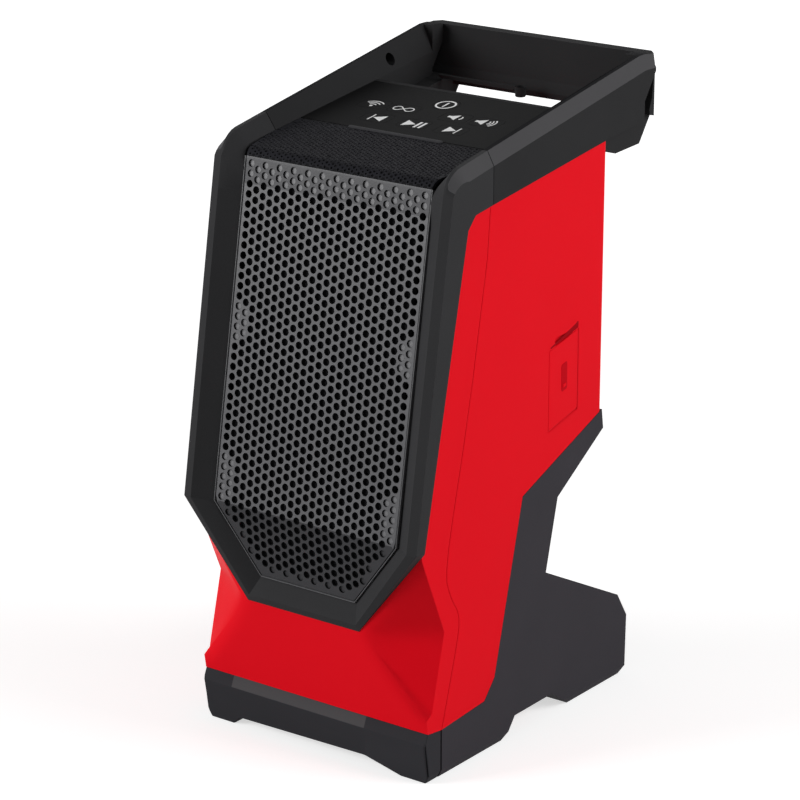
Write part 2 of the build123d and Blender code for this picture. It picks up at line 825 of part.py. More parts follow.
face_sheet = perforated(
    face_plane,
    mirrored([(grille_half, 0), (grille_half, face_length)]),
    holes(pitch / 2, face_length - pitch * blind_rows, lambda y: grille_half - hole_radius * 2),
)
chin_sheet = perforated(
    chin_plane,
    mirrored([(grille_half, 0), (chin_half, -chin_length)]),
    holes(
        pitch - chin_length, -pitch / 2,
        lambda y: blend(grille_half, chin_half, -y / chin_length) - hole_radius * 3,
    ),
)
with BuildPart() as bend_sheet:
    with BuildSketch(side_view.offset(-grille_half)) as drawn:
        inner_apex = meet(
            beside(nose, face_angle, 0, -grille_sheet), face_angle,
            beside(deck_front, deck_angle, 0, -grille_sheet), deck_angle,
        )
        with BuildLine():
            Polyline(
                beside(bend_apex, face_angle, -bend_reach, 0),
                bend_apex,
                deck_end,
                beside(deck_end, deck_angle, 0, -grille_sheet),
                inner_apex,
                beside(bend_apex, face_angle, -bend_reach, -grille_sheet),
                close=True,
            )
        make_face()
        fillet(drawn.vertices().sort_by_distance((*bend_apex, 0))[0], radius=bend_radius)
        fillet(drawn.vertices().sort_by_distance((*inner_apex, 0))[0], radius=bend_radius - grille_sheet)
    extrude(drawn.sketch, amount=grille_half * 2)
grille = Compound([chin_sheet.solid(), face_sheet.solid(), bend_sheet.part.solid()], label="grille")
export_step(grille, "parts/grille.step")

with BuildPart() as grille_cloth:
    cloth_half = grille_half - window_lap - clear
    cloth_front = grille_sheet + clear
    cloth_back = cloth_front + cloth_sheet
    across(
        [
            beside(grille_foot, chin_angle, -window_lap - clear, cloth_front),
            beside(nose, face_angle, 0, -cloth_front),
            beside(bend_apex, face_angle, -bend_reach, -cloth_front),
            beside(bend_apex, face_angle, -bend_reach, -cloth_back),
            beside(nose, face_angle, 0, -cloth_back),
            beside(grille_foot, chin_angle, -window_lap - clear, cloth_back),
        ],
        cloth_half,
    )
    prism(
        front_view,
        mirrored([
            (chin_half - window_lap - clear, grille_foot[1] + window_lap),
            (cloth_half, nose[1]),
            (cloth_half, height),
        ]),
        -depth, overrun, Mode.INTERSECT,
    )
keep(grille_cloth, "grille_cloth")

# Baffle, woofer and passive radiator, on the plane of the front shell's flange
baffle_back = -wall - baffle_sheet
baffle_half = pillar_side - boss_radius - clear
baffle_reach = (3.0, 119.0)
baffle_corner = (baffle_half - grille_half + window_lap + fit, 6.0)
woofer_radius = 40.0
woofer_hole = 35.0
woofer_inset = 1.0
woofer_place = (0, baffle_reach[1] - woofer_radius - woofer_inset)
basket_deep = 24.0       # from the baffle's back to the basket's floor
basket_rim = 2.0
basket_sheet = 1.6
basket_mouth = 34.2
basket_shoulder = 36.0
basket_floor = 21.0
basket_gap = 2.0         # between the basket's floor and the voice coil
magnet_radius = 20.0
magnet_deep = 12.0
magnet_floor = 2.0
pole_rise = 1.0
coil_radius = 9.9
coil_wall = 1.0
coil_gap = 0.7           # magnetic gap on either side of the voice coil
coil_dip = 6.0           # how deep the voice coil reaches into the magnet
cone_radius = 30.8
cone_deep = 14.0         # from the baffle's back to the cone's neck
cone_neck_sheet = 2.1
cone_lip = (0.8, 0.5)    # how wide the cone's front edge is, and how far it stands proud
cone_lip_sheet = 1.1
dome_radius = 5.0
dome_deep = 9.5
dome_fall = 0.5
dome_sheet = 1.0
dome_seat = 1.6
surround_size = (4.1, 2.8)
surround_shares = [
    (0.12, 0.11), (0.29, 0.79), (0.59, 1.00), (0.85, 0.71), (1.00, 0.00),
    (0.85, 0.00), (0.76, 0.54), (0.56, 0.71), (0.39, 0.54), (0.27, 0.11),
]
radiator_size = (80.0, 34.0)
radiator_hole = (72.0, 27.0)
radiator_corner = 8.0
radiator_inset = 0.5
radiator_sheet = 2.5
radiator_lip = 1.0       # the frame's reach into the baffle's hole
radiator_roll = 4.0
roll_levels = (2.0, 0.8)
plate_levels = (2.2, 0.6)
radiator_place = (0, baffle_reach[0] + radiator_size[1] / 2 + radiator_inset)

turn_step = radians(45)
woofer_screw_ring = 38.1
woofer_screws = [
    (woofer_screw_ring * cos(turn_step * turn), woofer_place[1] + woofer_screw_ring * sin(turn_step * turn))
    for turn in (1, 3, 5, 7)
]
radiator_screw_side = (radiator_size[0] + radiator_hole[0] - radiator_lip * 2) / 4
radiator_screws = [(side * radiator_screw_side, radiator_place[1]) for side in (1, -1)]
rim_back = baffle_back - basket_rim
basket_back = baffle_back - basket_deep
magnet_end = basket_back - magnet_deep
cone_neck = baffle_back - cone_deep
dome_front = baffle_back - dome_deep

with BuildPart() as speaker_baffle:
    block(
        shell_plane, (0, sum(baffle_reach) / 2), (baffle_half * 2, baffle_reach[1] - baffle_reach[0]),
        baffle_back, -wall,
    )
    pegs(shell_plane, [woofer_place], woofer_hole, baffle_back, -wall, Mode.SUBTRACT)
    block(shell_plane, radiator_place, radiator_hole, baffle_back, -wall, Mode.SUBTRACT, radiator_corner)
    pegs(shell_plane, woofer_screws + radiator_screws, driver_shank, baffle_back, -wall, Mode.SUBTRACT)
    for side in (1, -1):
        block(
            shell_plane, (side * baffle_half, baffle_reach[1]), (baffle_corner[0] * 2, baffle_corner[1] * 2),
            baffle_back, -wall, Mode.SUBTRACT,
        )
keep(speaker_baffle, "speaker_baffle")

with BuildPart() as woofer_basket:
    turned(shell_plane, woofer_place, [
        (basket_mouth, baffle_back),
        (woofer_radius, baffle_back),
        (woofer_radius, rim_back),
        (basket_shoulder, rim_back),
        (basket_floor, basket_back),
        (coil_radius + basket_gap, basket_back),
        (coil_radius + basket_gap, basket_back + basket_sheet),
        (basket_floor - basket_sheet, basket_back + basket_sheet),
        (basket_mouth, rim_back),
    ])
    pegs(shell_plane, woofer_screws, driver_shank, baffle_back - wall, baffle_back, Mode.SUBTRACT)
keep(woofer_basket, "woofer_basket")

with BuildPart() as woofer_magnet:
    pole_radius = coil_radius - coil_wall - coil_gap
    turned(shell_plane, woofer_place, [
        (coil_radius + coil_gap, basket_back),
        (magnet_radius, basket_back),
        (magnet_radius, magnet_end),
        (0, magnet_end),
        (0, basket_back + pole_rise),
        (pole_radius, basket_back + pole_rise),
        (pole_radius, magnet_end + magnet_floor),
        (coil_radius + coil_gap, magnet_end + magnet_floor),
    ])
keep(woofer_magnet, "woofer_magnet")

with BuildPart() as voice_coil:
    turned(shell_plane, woofer_place, [
        (coil_radius - coil_wall, cone_neck),
        (coil_radius, cone_neck),
        (coil_radius, basket_back - coil_dip),
        (coil_radius - coil_wall, basket_back - coil_dip),
    ])
keep(voice_coil, "voice_coil")

with BuildPart() as woofer_cone:
    turned(shell_plane, woofer_place, [
        (0, dome_front),
        (dome_radius, dome_front - dome_fall),
        (coil_radius, cone_neck + cone_neck_sheet),
        (cone_radius - cone_lip[0], baffle_back + cone_lip[1]),
        (cone_radius, baffle_back + cone_lip[1] - cone_lip_sheet),
        (coil_radius, cone_neck),
        (coil_radius - coil_wall, cone_neck),
        (coil_radius - coil_wall, cone_neck + dome_seat),
        (dome_radius, dome_front - dome_fall - dome_sheet),
        (0, dome_front - dome_sheet),
    ])
keep(woofer_cone, "woofer_cone")

with BuildPart() as woofer_surround:
    turned(shell_plane, woofer_place, [
        (cone_radius + surround_size[0] * out, baffle_back + surround_size[1] * up)
        for out, up in surround_shares
    ])
keep(woofer_surround, "woofer_surround")


def ring(outer, inner, low, high):
    """A flat ring of rounded rectangles round the radiator's middle."""
    block(shell_plane, radiator_place, outer, low, high, corner=radiator_corner)
    block(shell_plane, radiator_place, inner, low, high, Mode.SUBTRACT, radiator_corner - radiator_lip)


radiator_opening = [side - radiator_lip * 2 for side in radiator_hole]
roll_inner = [side - radiator_roll * 2 for side in radiator_opening]
roll_low, roll_high = [baffle_back - level for level in roll_levels]
mover_low, mover_high = [baffle_back - level for level in plate_levels]
mover_size = [side - clear * 2 for side in roll_inner]
with BuildPart() as radiator_frame:
    ring(radiator_size, radiator_opening, baffle_back - radiator_sheet, baffle_back)
    pegs(shell_plane, radiator_screws, driver_shank, baffle_back - wall, baffle_back, Mode.SUBTRACT)
keep(radiator_frame, "radiator_frame")

with BuildPart() as radiator_surround:
    ring(radiator_opening, roll_inner, roll_low, roll_high)
keep(radiator_surround, "radiator_surround")

with BuildPart() as radiator_plate:
    block(
        shell_plane, radiator_place, mover_size, mover_low, mover_high,
        corner=radiator_corner - radiator_lip * 2,
    )
keep(radiator_plate, "radiator_plate")

# Battery bay and its blade contacts
bay_corner = 3.0
bay_floor = -bay_deep + bay_wall
with BuildPart() as battery_bay:
    block(bay_plane, (0, 0), bay_outer, -bay_deep, 0)
    block(bay_plane, (0, 0), (bay_wide, bay_tall), bay_floor, 0, Mode.SUBTRACT, bay_corner)
keep(battery_bay, "battery_bay")

blade_gap = 9.0
blade = (0.8, 8.0)
blade_long = 10.0
with BuildPart() as battery_contacts:
    for step in (-1, 0, 1):
        block(bay_plane, (step * blade_gap, 0), blade, bay_floor, bay_floor + blade_long)
keep(battery_contacts, "battery_contacts")

# Main board on the rear wall's posts, with its parts, heat sink and radio module
board_front = board_back - board_sheet
board_middle = (board_low + board_high) / 2
with BuildPart() as main_board:
    block(front_view, (0, board_middle), (board_half * 2, board_high - board_low), -board_back, -board_front)
    pegs(front_view, posts, screw_radius + clear, -board_back, -board_front, Mode.SUBTRACT)
keep(main_board, "main_board")

# Places on the main board as shares of its half width and half height
capacitor_shares = [(-0.658, 0.498), (-0.316, 0.498)]
inductor_share = (-0.579, -0.285)
amplifier_share = (-0.105, -0.285)
heat_sink_share = (0.474, -0.214)
radio_share = (0.421, 0.641)
capacitor_radius, capacitor_tall = 5.0, 14.0
inductor_size, inductor_tall = (12.0, 12.0), 8.0
amplifier_size, amplifier_tall = (10.0, 10.0), 3.0
plug_size, plug_tall = (20.0, 6.0), 7.0
plug_place = (-4.0, board_low + 4.0)
sink_size, sink_sheet, sink_tall = (24.0, 24.0), 3.0, 12.0
fin_count, fin_sheet = 6, 1.2
radio_size, radio_tall = (16.0, 12.0), 2.4


def on_board(share):
    return (board_half * share[0], board_middle + (board_high - board_low) / 2 * share[1])


with BuildPart() as board_parts:
    capacitors = [on_board(share) for share in capacitor_shares]
    pegs(front_view, capacitors, capacitor_radius, -board_front, capacitor_tall - board_front)
    for place, size, tall in (
        (on_board(inductor_share), inductor_size, inductor_tall),
        (on_board(amplifier_share), amplifier_size, amplifier_tall),
        (plug_place, plug_size, plug_tall),
    ):
        block(front_view, place, size, -board_front, tall - board_front)
keep(board_parts, "board_parts")

with BuildPart() as heat_sink:
    sink_place = on_board(heat_sink_share)
    fin_step = (sink_size[0] - fin_sheet) / (fin_count - 1)
    block(front_view, sink_place, sink_size, -board_front, sink_sheet - board_front)
    for fin in range(fin_count):
        fin_side = sink_place[0] - (sink_size[0] - fin_sheet) / 2 + fin * fin_step
        block(
            front_view, (fin_side, sink_place[1]), (fin_sheet, sink_size[1]),
            sink_sheet - board_front, sink_tall - board_front,
        )
keep(heat_sink, "heat_sink")

with BuildPart() as radio_module:
    block(front_view, on_board(radio_share), radio_size, -board_front, radio_tall - board_front)
keep(radio_module, "radio_module")

# Side door on its hinge pin, and the well with its socket behind it
well_flange = 3.0
well_sheet = 1.5
well_deep = 10.0
well_size = (11.0, 16.0)
port_place = blend_spot(blend_spot(door[0], door[1], 0.5), door_middle, 0.5)
barrel = hinge_drop
with BuildPart() as side_door:
    prism(side_view, door, shell_half - door_sheet, shell_half)
    for toward in (-barrel, barrel):
        edge_spot = hinge_plane.origin + Vector(toward, 0, 0)
        low_edge = side_door.edges().filter_by(GeomType.LINE).sort_by_distance(edge_spot)[0]
        fillet(low_edge, radius=barrel * 0.95)
    pegs(hinge_plane, [(0, 0)], pin_radius + fit / 2, -pin_length, pin_length, Mode.SUBTRACT)
keep(side_door, "side_door")

with BuildPart() as door_pin:
    pegs(hinge_plane, [(0, 0)], pin_radius, -pin_length / 2, pin_length / 2)
keep(door_pin, "door_pin")

well_side = shell_half - wall
with BuildPart() as port_well:
    prism(side_view, door, well_side - well_sheet, well_side, grow=well_flange)
    well_outer = [side + well_sheet * 2 for side in well_size]
    block(side_view, port_place, well_outer, well_side - well_deep, well_side)
    block(side_view, port_place, well_size, well_side - well_deep + well_sheet, well_side, Mode.SUBTRACT)
keep(port_well, "port_well")

socket_size = (3.6, 9.6)
socket_wall = 0.6
socket_corner = 1.7
with BuildPart() as service_port:
    socket_back, socket_front = well_side - well_deep + well_sheet, well_side - well_sheet * 2
    block(side_view, port_place, socket_size, socket_back, socket_front, corner=socket_corner)
    block(
        side_view, port_place, [side - socket_wall * 2 for side in socket_size],
        socket_back + well_sheet, socket_front, Mode.SUBTRACT, socket_corner - socket_wall,
    )
keep(service_port, "service_port")

# Screws: long housing screws in the pillars, and short ones in the drivers, boards and handle
def screw(plane, place, seat, length, head, shank, head_tall):
    """A pan-head screw whose head sits on a level of a plane and whose shank runs down from it."""
    pegs(plane, [place], head, seat, seat + head_tall)
    pegs(plane, [place], shank, seat - length, seat)
    pegs(plane, [place], head / 3, seat + head_tall / 2, seat + head_tall, Mode.SUBTRACT)


rear_facing = Plane(origin=(0, -middle, 0), x_dir=(-1, 0, 0), z_dir=(0, 1, 0))
with BuildPart() as housing_screws:
    for level in pillar_levels:
        seat = back_on(rear_seam[1:], level) + wall * 5
        for side in (1, -1):
            screw(rear_facing, (side * pillar_side, level), seat, wall * 8, head_radius, screw_radius, wall)
keep(housing_screws, "housing_screws")

with BuildPart() as board_screws:
    for place in posts:
        screw(front_view, place, -board_front, wall * 2.5, head_radius, screw_radius, screw_radius)
    for place in control_posts:
        under_board = deck_plane.offset(board_top - board_sheet)
        screw(under_board, place, 0, -wall * 2, driver_head, driver_shank, -driver_shank)
keep(board_screws, "board_screws")

with BuildPart() as driver_screws:
    for place in woofer_screws:
        screw(shell_plane, place, rim_back, -wall * 1.6, driver_head, driver_shank, -driver_shank)
    for place in radiator_screws:
        seat = baffle_back - radiator_sheet
        screw(shell_plane, place, seat, -wall * 1.6, driver_head, driver_shank, -driver_shank)
keep(driver_screws, "driver_screws")

# Seal inside the open line between the shells
seal_sheet = 1.2
seal_wide = 2.4
seal_ends = [(back_on(seam[1:], level), level) for level in (floor_top, front_top)]
seal_line = seal_ends[:1] + [place for place in seam if floor_top < place[1] < front_top] + seal_ends[1:]
with BuildPart() as housing_seal:
    prism(
        side_view, seal_line + [(y + seal_wide, z) for y, z in reversed(seal_line)],
        shell_in - seal_sheet, shell_in,
    )
    mirror(about=Plane.YZ)
keep(housing_seal, "housing_seal")


def lead(points, radius, bends):
    """A wire along straight runs joined by arcs."""
    with BuildLine() as route:
        FilletPolyline(points, radius=bends)
    with BuildSketch(Plane(origin=route.line @ 0, z_dir=route.line % 0)) as round_section:
        Circle(radius)
    sweep(round_section.sketch, path=route.line)


def inside(x, place):
    return (x, place[0] - middle, place[1])


lead_radius = 1.1
lead_bend = 5.0
plug_face = (board_front - plug_tall, plug_place[1])
magnet_back = beside(along(shell_plane, 0, woofer_place[1]), shell_angle, 0, magnet_end)
bay_end = beside(bay_centre, underside_angle, 0, bay_deep)
with BuildPart() as speaker_lead:
    lead(
        [
            inside(-wall * 3, plug_face),
            inside(-wall * 3, (plug_face[0] - 10.0, plug_face[1])),
            inside(-wall * 3, beside(magnet_back, shell_angle, -8.0, -20.0)),
            inside(-wall * 3, beside(magnet_back, shell_angle, 0, -10.0)),
            inside(-wall * 3, magnet_back),
        ],
        lead_radius, lead_bend,
    )
keep(speaker_lead, "speaker_lead")

with BuildPart() as battery_lead:
    lead(
        [
            inside(wall, bay_end),
            inside(wall, beside(bay_end, underside_angle, 0, 9.0)),
            inside(wall, beside(bay_end, underside_angle, 10.0, 18.0)),
            inside(wall, (plug_face[0] - 10.0, plug_face[1])),
            inside(wall, plug_face),
        ],
        lead_radius, lead_bend - lead_radius,
    )
keep(battery_lead, "battery_lead")
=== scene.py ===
"""The looks of the jobsite speaker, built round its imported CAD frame. Places are in millimetres until
a mesh is made, with Y counted from the foot's front edge as in the part's source."""
import json
from math import atan2, cos, dist, pi, radians, sin, tan
from random import Random

import bmesh
import bpy
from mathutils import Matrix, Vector
from mathutils.kdtree import KDTree


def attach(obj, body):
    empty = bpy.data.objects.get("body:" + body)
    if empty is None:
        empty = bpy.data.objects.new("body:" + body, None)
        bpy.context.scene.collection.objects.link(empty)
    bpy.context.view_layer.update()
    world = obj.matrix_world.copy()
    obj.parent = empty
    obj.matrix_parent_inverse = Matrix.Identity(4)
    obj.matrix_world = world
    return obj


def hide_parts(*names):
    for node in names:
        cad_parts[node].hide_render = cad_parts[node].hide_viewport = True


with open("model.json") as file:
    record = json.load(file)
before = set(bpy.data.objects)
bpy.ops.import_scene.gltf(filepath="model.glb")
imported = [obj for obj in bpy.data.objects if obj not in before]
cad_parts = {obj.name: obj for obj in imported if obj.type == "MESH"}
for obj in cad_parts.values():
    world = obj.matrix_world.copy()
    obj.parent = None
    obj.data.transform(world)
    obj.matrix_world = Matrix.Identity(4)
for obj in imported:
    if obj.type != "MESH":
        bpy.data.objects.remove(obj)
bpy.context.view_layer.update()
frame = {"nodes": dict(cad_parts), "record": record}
nodes = frame["nodes"]
scene = bpy.context.scene

# Values shared with the part's source
middle = 71.5506
shell_half = 55.8
face_angle = radians(80.4435)
deck_angle = radians(7.4082)
nose = (-6.5632, 97.65)
grille_foot = (-4.4536, 70.35)
deck_front = (38.4416, 238.0875)
grille_half = 44.1
chin_half = 22.9
sheet_thick = 1.0
pitch = 4.0
hole_radius = 1.4

# Values of the meshes themselves
tiny = 1e-9
sharp_above = radians(34)


def place(x, y, z):
    """A place in millimetres as a place in the frame, in metres."""
    return Vector((x, y - middle, z)) / 1000


def in_millimetres(spot):
    """A place in the frame as its X, Y and Z in millimetres."""
    return spot.x * 1000, spot.y * 1000 + middle, spot.z * 1000


def body_of(node):
    for body, members in frame["record"]["behaviour"]["bodies"].items():
        if node in members:
            return body


def new_piece(name, verts, faces, material, body, smooth=True):
    """A mesh piece from places in metres, riding on a body."""
    mesh = bpy.data.meshes.new(name)
    mesh.from_pydata([tuple(v) for v in verts], [], faces)
    mesh.validate()
    mesh.polygons.foreach_set("use_smooth", [smooth] * len(mesh.polygons))
    mesh.materials.append(material)
    piece = bpy.data.objects.new(name, mesh)
    scene.collection.objects.link(piece)
    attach(piece, body)
    return piece


def walls(first, count, rings=2):
    """Faces between rings of corners that follow one another in a list of places."""
    faces = []
    for ring in range(rings - 1):
        low = first + ring * count
        for k in range(count):
            nxt = (k + 1) % count
            faces.append([low + k, low + nxt, low + count + nxt, low + count + k])
    return faces


# Materials. Texture scales are counted over a metre, and the depths of bumps are in metres
drift_scale = 35
line_scale = 900
grain_depth = 0.0001
thread_depth = 0.0002


def node_kit(name):
    material = bpy.data.materials.new(name)
    material.use_nodes = True
    tree = material.node_tree
    shader = tree.nodes["Principled BSDF"]
    return material, tree, shader


def noise(tree, scale, detail, vector, rough=0.5):
    made = tree.nodes.new("ShaderNodeTexNoise")
    made.inputs["Scale"].default_value = scale
    made.inputs["Detail"].default_value = detail
    made.inputs["Roughness"].default_value = rough
    tree.links.new(vector, made.inputs["Vector"])
    return made.outputs["Fac"]


def between(tree, factor, low, high, start=0.3, end=0.7):
    made = tree.nodes.new("ShaderNodeMapRange")
    made.inputs["From Min"].default_value = start
    made.inputs["From Max"].default_value = end
    made.inputs["To Min"].default_value = low
    made.inputs["To Max"].default_value = high
    tree.links.new(factor, made.inputs["Value"])
    return made.outputs["Result"]


def tint(tree, factor, low, high):
    made = tree.nodes.new("ShaderNodeMix")
    made.data_type = "RGBA"
    made.inputs["A"].default_value = (*low, 1)
    made.inputs["B"].default_value = (*high, 1)
    tree.links.new(factor, made.inputs["Factor"])
    return made.outputs["Result"]


def bump(tree, shader, height, strength, distance):
    made = tree.nodes.new("ShaderNodeBump")
    made.inputs["Strength"].default_value = strength
    made.inputs["Distance"].default_value = distance
    tree.links.new(height, made.inputs["Height"])
    tree.links.new(made.outputs["Normal"], shader.inputs["Normal"])


def moulded(name, color, drift, rough, grain, grain_bump, specular=0.5, metallic=0.0):
    """A moulded or coated surface: a faint drift of colour, uneven gloss and a fine grain."""
    material, tree, shader = node_kit(name)
    coordinates = tree.nodes.new("ShaderNodeTexCoord").outputs["Object"]
    slow = noise(tree, drift_scale, 3, coordinates)
    fine = noise(tree, grain, 4, coordinates, 0.6)
    low = [max(c * (1 - drift), 0) for c in color]
    high = [min(c * (1 + drift), 1) for c in color]
    tree.links.new(tint(tree, slow, low, high), shader.inputs["Base Color"])
    gloss = between(tree, fine, rough * 0.9, min(rough * 1.12, 1))
    tree.links.new(gloss, shader.inputs["Roughness"])
    bump(tree, shader, fine, grain_bump, grain_depth)
    shader.inputs["Specular IOR Level"].default_value = specular
    shader.inputs["Metallic"].default_value = metallic
    return material


def woven(name, color, thread_pitch):
    """Acoustic cloth: crossed threads with a soft sheen."""
    material, tree, shader = node_kit(name)
    coordinates = tree.nodes.new("ShaderNodeTexCoord").outputs["Object"]
    crossed = tree.nodes.new("ShaderNodeMath")
    crossed.operation = "MAXIMUM"
    for direction, socket in zip(("X", "Z"), crossed.inputs):
        threads = tree.nodes.new("ShaderNodeTexWave")
        threads.bands_direction = direction
        # At a scale of 1 the texture's wave turns by 20 radians a metre, here by half a turn a thread
        threads.inputs["Scale"].default_value = 1000 / thread_pitch / 20 * pi
        tree.links.new(coordinates, threads.inputs["Vector"])
        tree.links.new(threads.outputs["Fac"], socket)
    bump(tree, shader, crossed.outputs[0], 0.6, thread_depth)
    between_threads = [c * 0.4 for c in color]
    tree.links.new(tint(tree, crossed.outputs[0], between_threads, color), shader.inputs["Base Color"])
    shader.inputs["Roughness"].default_value = 0.95
    shader.inputs["Specular IOR Level"].default_value = 0.1
    return material


def brushed(name, color, rough, stretch):
    """Bare metal with fine drawn lines along one direction."""
    material, tree, shader = node_kit(name)
    coordinates = tree.nodes.new("ShaderNodeTexCoord").outputs["Object"]
    mapping = tree.nodes.new("ShaderNodeMapping")
    mapping.inputs["Scale"].default_value = stretch
    tree.links.new(coordinates, mapping.inputs["Vector"])
    lines = noise(tree, line_scale, 2, mapping.outputs["Vector"])
    tree.links.new(between(tree, lines, rough * 0.7, rough * 1.3), shader.inputs["Roughness"])
    tree.links.new(tint(tree, lines, [c * 0.85 for c in color], color), shader.inputs["Base Color"])
    shader.inputs["Metallic"].default_value = 1.0
    return material


red = moulded("red_shell", (0.75, 0.004, 0.012), 0.02, 0.45, 2600, 0.2, specular=0.03)
# Darker reds for the door's marks: the painted shade of its finger hollow and of its slot
hollow_shade_red = moulded("door_hollow_painted_shade", (0.30, 0.001, 0.005), 0.02, 0.5, 2600, 0.2, specular=0.02)
slot_shade_red = moulded("door_slot_painted_shade", (0.50, 0.002, 0.008), 0.02, 0.5, 2600, 0.2, specular=0.02)
grip = moulded("black_grip", (0.030, 0.030, 0.0315), 0.10, 0.55, 1900, 0.5, specular=0.03)
base_black = moulded("black_base", (0.045, 0.042, 0.048), 0.08, 0.55, 1500, 0.5, specular=0.01)
bumper_black = moulded("black_bumper", (0.034, 0.034, 0.038), 0.08, 0.55, 1700, 0.5, specular=0.01)
rail_black = moulded("black_rail", (0.026, 0.026, 0.027), 0.10, 0.55, 1900, 0.5, specular=0.01)
# Painted shade: a darker black for the rails' tops
rail_top_shade_black = moulded("black_rail_top_painted_shade", (0.012, 0.012, 0.013), 0.10, 0.60, 1900, 0.5, specular=0.01)
# Painted highlight: a lighter black for the bumper's bevel and the outward chamfers of the frame and rails
bevel_highlight_black = moulded("black_bevel_painted_highlight", (0.068, 0.067, 0.070), 0.06, 0.50, 1900, 0.4, specular=0.02)
panel_black = moulded("black_panel", (0.0070, 0.0070, 0.0073), 0.05, 0.40, 2600, 0.15, specular=0.01)
key_black = moulded("key_cap", (0.0070, 0.0070, 0.0073), 0.05, 0.40, 2600, 0.15, specular=0.01)
steel_black = moulded("grille_steel", (0.060, 0.060, 0.065), 0.06, 0.36, 1400, 0.3, specular=0.35)
# Painted shade: darker copies of the grille's steel for its chin and for the top near its bend
chin_shade_steel = moulded("grille_chin_painted_shade", (0.036, 0.036, 0.039), 0.06, 0.45, 1400, 0.3, specular=0.12)
top_shade_steel = moulded("grille_top_painted_shade", (0.040, 0.040, 0.044), 0.06, 0.40, 1400, 0.3, specular=0.25)
# Painted shade: a far darker copy of the grille's steel for the deck, where the sheet faces up
deck_shade_black = moulded("deck_steel_painted_shade", (0.014, 0.014, 0.017), 0.35, 0.50, 700, 1.0, specular=0.03)
# Painted light: a lighter copy of the grille's steel for the floors of the blind holes
disc_lit_steel = moulded("grille_disc_painted_light", (0.120, 0.120, 0.126), 0.06, 0.36, 1400, 0.3, specular=0.35)
# Painted highlight: a grey lighter than the frame for the lip round the grille
rim_highlight_grey = moulded("grille_rim_painted_highlight", (0.085, 0.085, 0.090), 0.05, 0.36, 1400, 0.2, specular=0.40)
# Black for the red shell behind the grille, and the painted shade on the grille's hole walls and in the
# deck's pits
behind_and_hole_shade_black = moulded("behind_grille", (0.006, 0.006, 0.007), 0.1, 0.9, 900, 0.2, specular=0.1)
bar_grey = moulded("light_pipe", (0.045, 0.045, 0.048), 0.05, 0.45, 1800, 0.1, specular=0.02)
print_white = moulded("print_white", (0.78, 0.78, 0.78), 0.02, 0.5, 2500, 0.1, specular=0.2)
inner_black = moulded("inner_plastic", (0.035, 0.035, 0.037), 0.08, 0.6, 1200, 0.4, specular=0.3)
soft_black = moulded("soft_rubber", (0.018, 0.018, 0.019), 0.1, 0.75, 1600, 0.5, specular=0.2)
cone_black = moulded("paper_cone", (0.04, 0.04, 0.042), 0.2, 0.8, 700, 0.8, specular=0.2)
board_green = moulded("circuit_board", (0.01, 0.10, 0.04), 0.15, 0.35, 800, 0.3)
part_black = moulded("components", (0.03, 0.03, 0.033), 0.2, 0.5, 900, 0.3)
dark_steel = moulded("dark_steel", (0.04, 0.04, 0.043), 0.1, 0.4, 1500, 0.3, metallic=0.4)
sheath_red = moulded("wire_sheath", (0.30, 0.02, 0.02), 0.08, 0.45, 1600, 0.2)
steel = brushed("bare_steel", (0.60, 0.60, 0.61), 0.35, (1, 0.05, 1))
alloy = brushed("aluminium", (0.72, 0.72, 0.74), 0.4, (1, 1, 0.05))
copper = brushed("copper", (0.80, 0.45, 0.28), 0.35, (0.05, 1, 1))
cloth_black = woven("cloth", (0.006, 0.006, 0.007), 0.5)

# The nodes that keep their own shape
looks_of_nodes = (
    (cloth_black, ("grille_cloth",)),
    (inner_black, ("speaker_baffle", "radiator_frame", "port_well")),
    (dark_steel, ("woofer_basket",)),
    (steel, (
        "woofer_magnet", "radio_module", "key_switches", "door_pin", "service_port",
        "housing_screws", "board_screws", "driver_screws",
    )),
    (copper, ("voice_coil", "battery_contacts")),
    (cone_black, ("woofer_cone", "radiator_plate")),
    (soft_black, ("woofer_surround", "radiator_surround", "housing_seal")),
    (board_green, ("main_board", "control_board")),
    (part_black, ("board_parts",)),
    (alloy, ("heat_sink",)),
    (sheath_red, ("speaker_lead", "battery_lead")),
    (panel_black, ("control_panel",)),
    (key_black, [node for node in nodes if node.startswith("key_") and node != "key_switches"]),
)
for material, members in looks_of_nodes:
    for node in members:
        mesh = nodes[node].data
        mesh.materials.clear()
        mesh.materials.append(material)

# Moulded pieces: each takes its node's own shape, with its edges rounded as a moulding's are
flat_within = radians(0.8)
edge_above = radians(15)


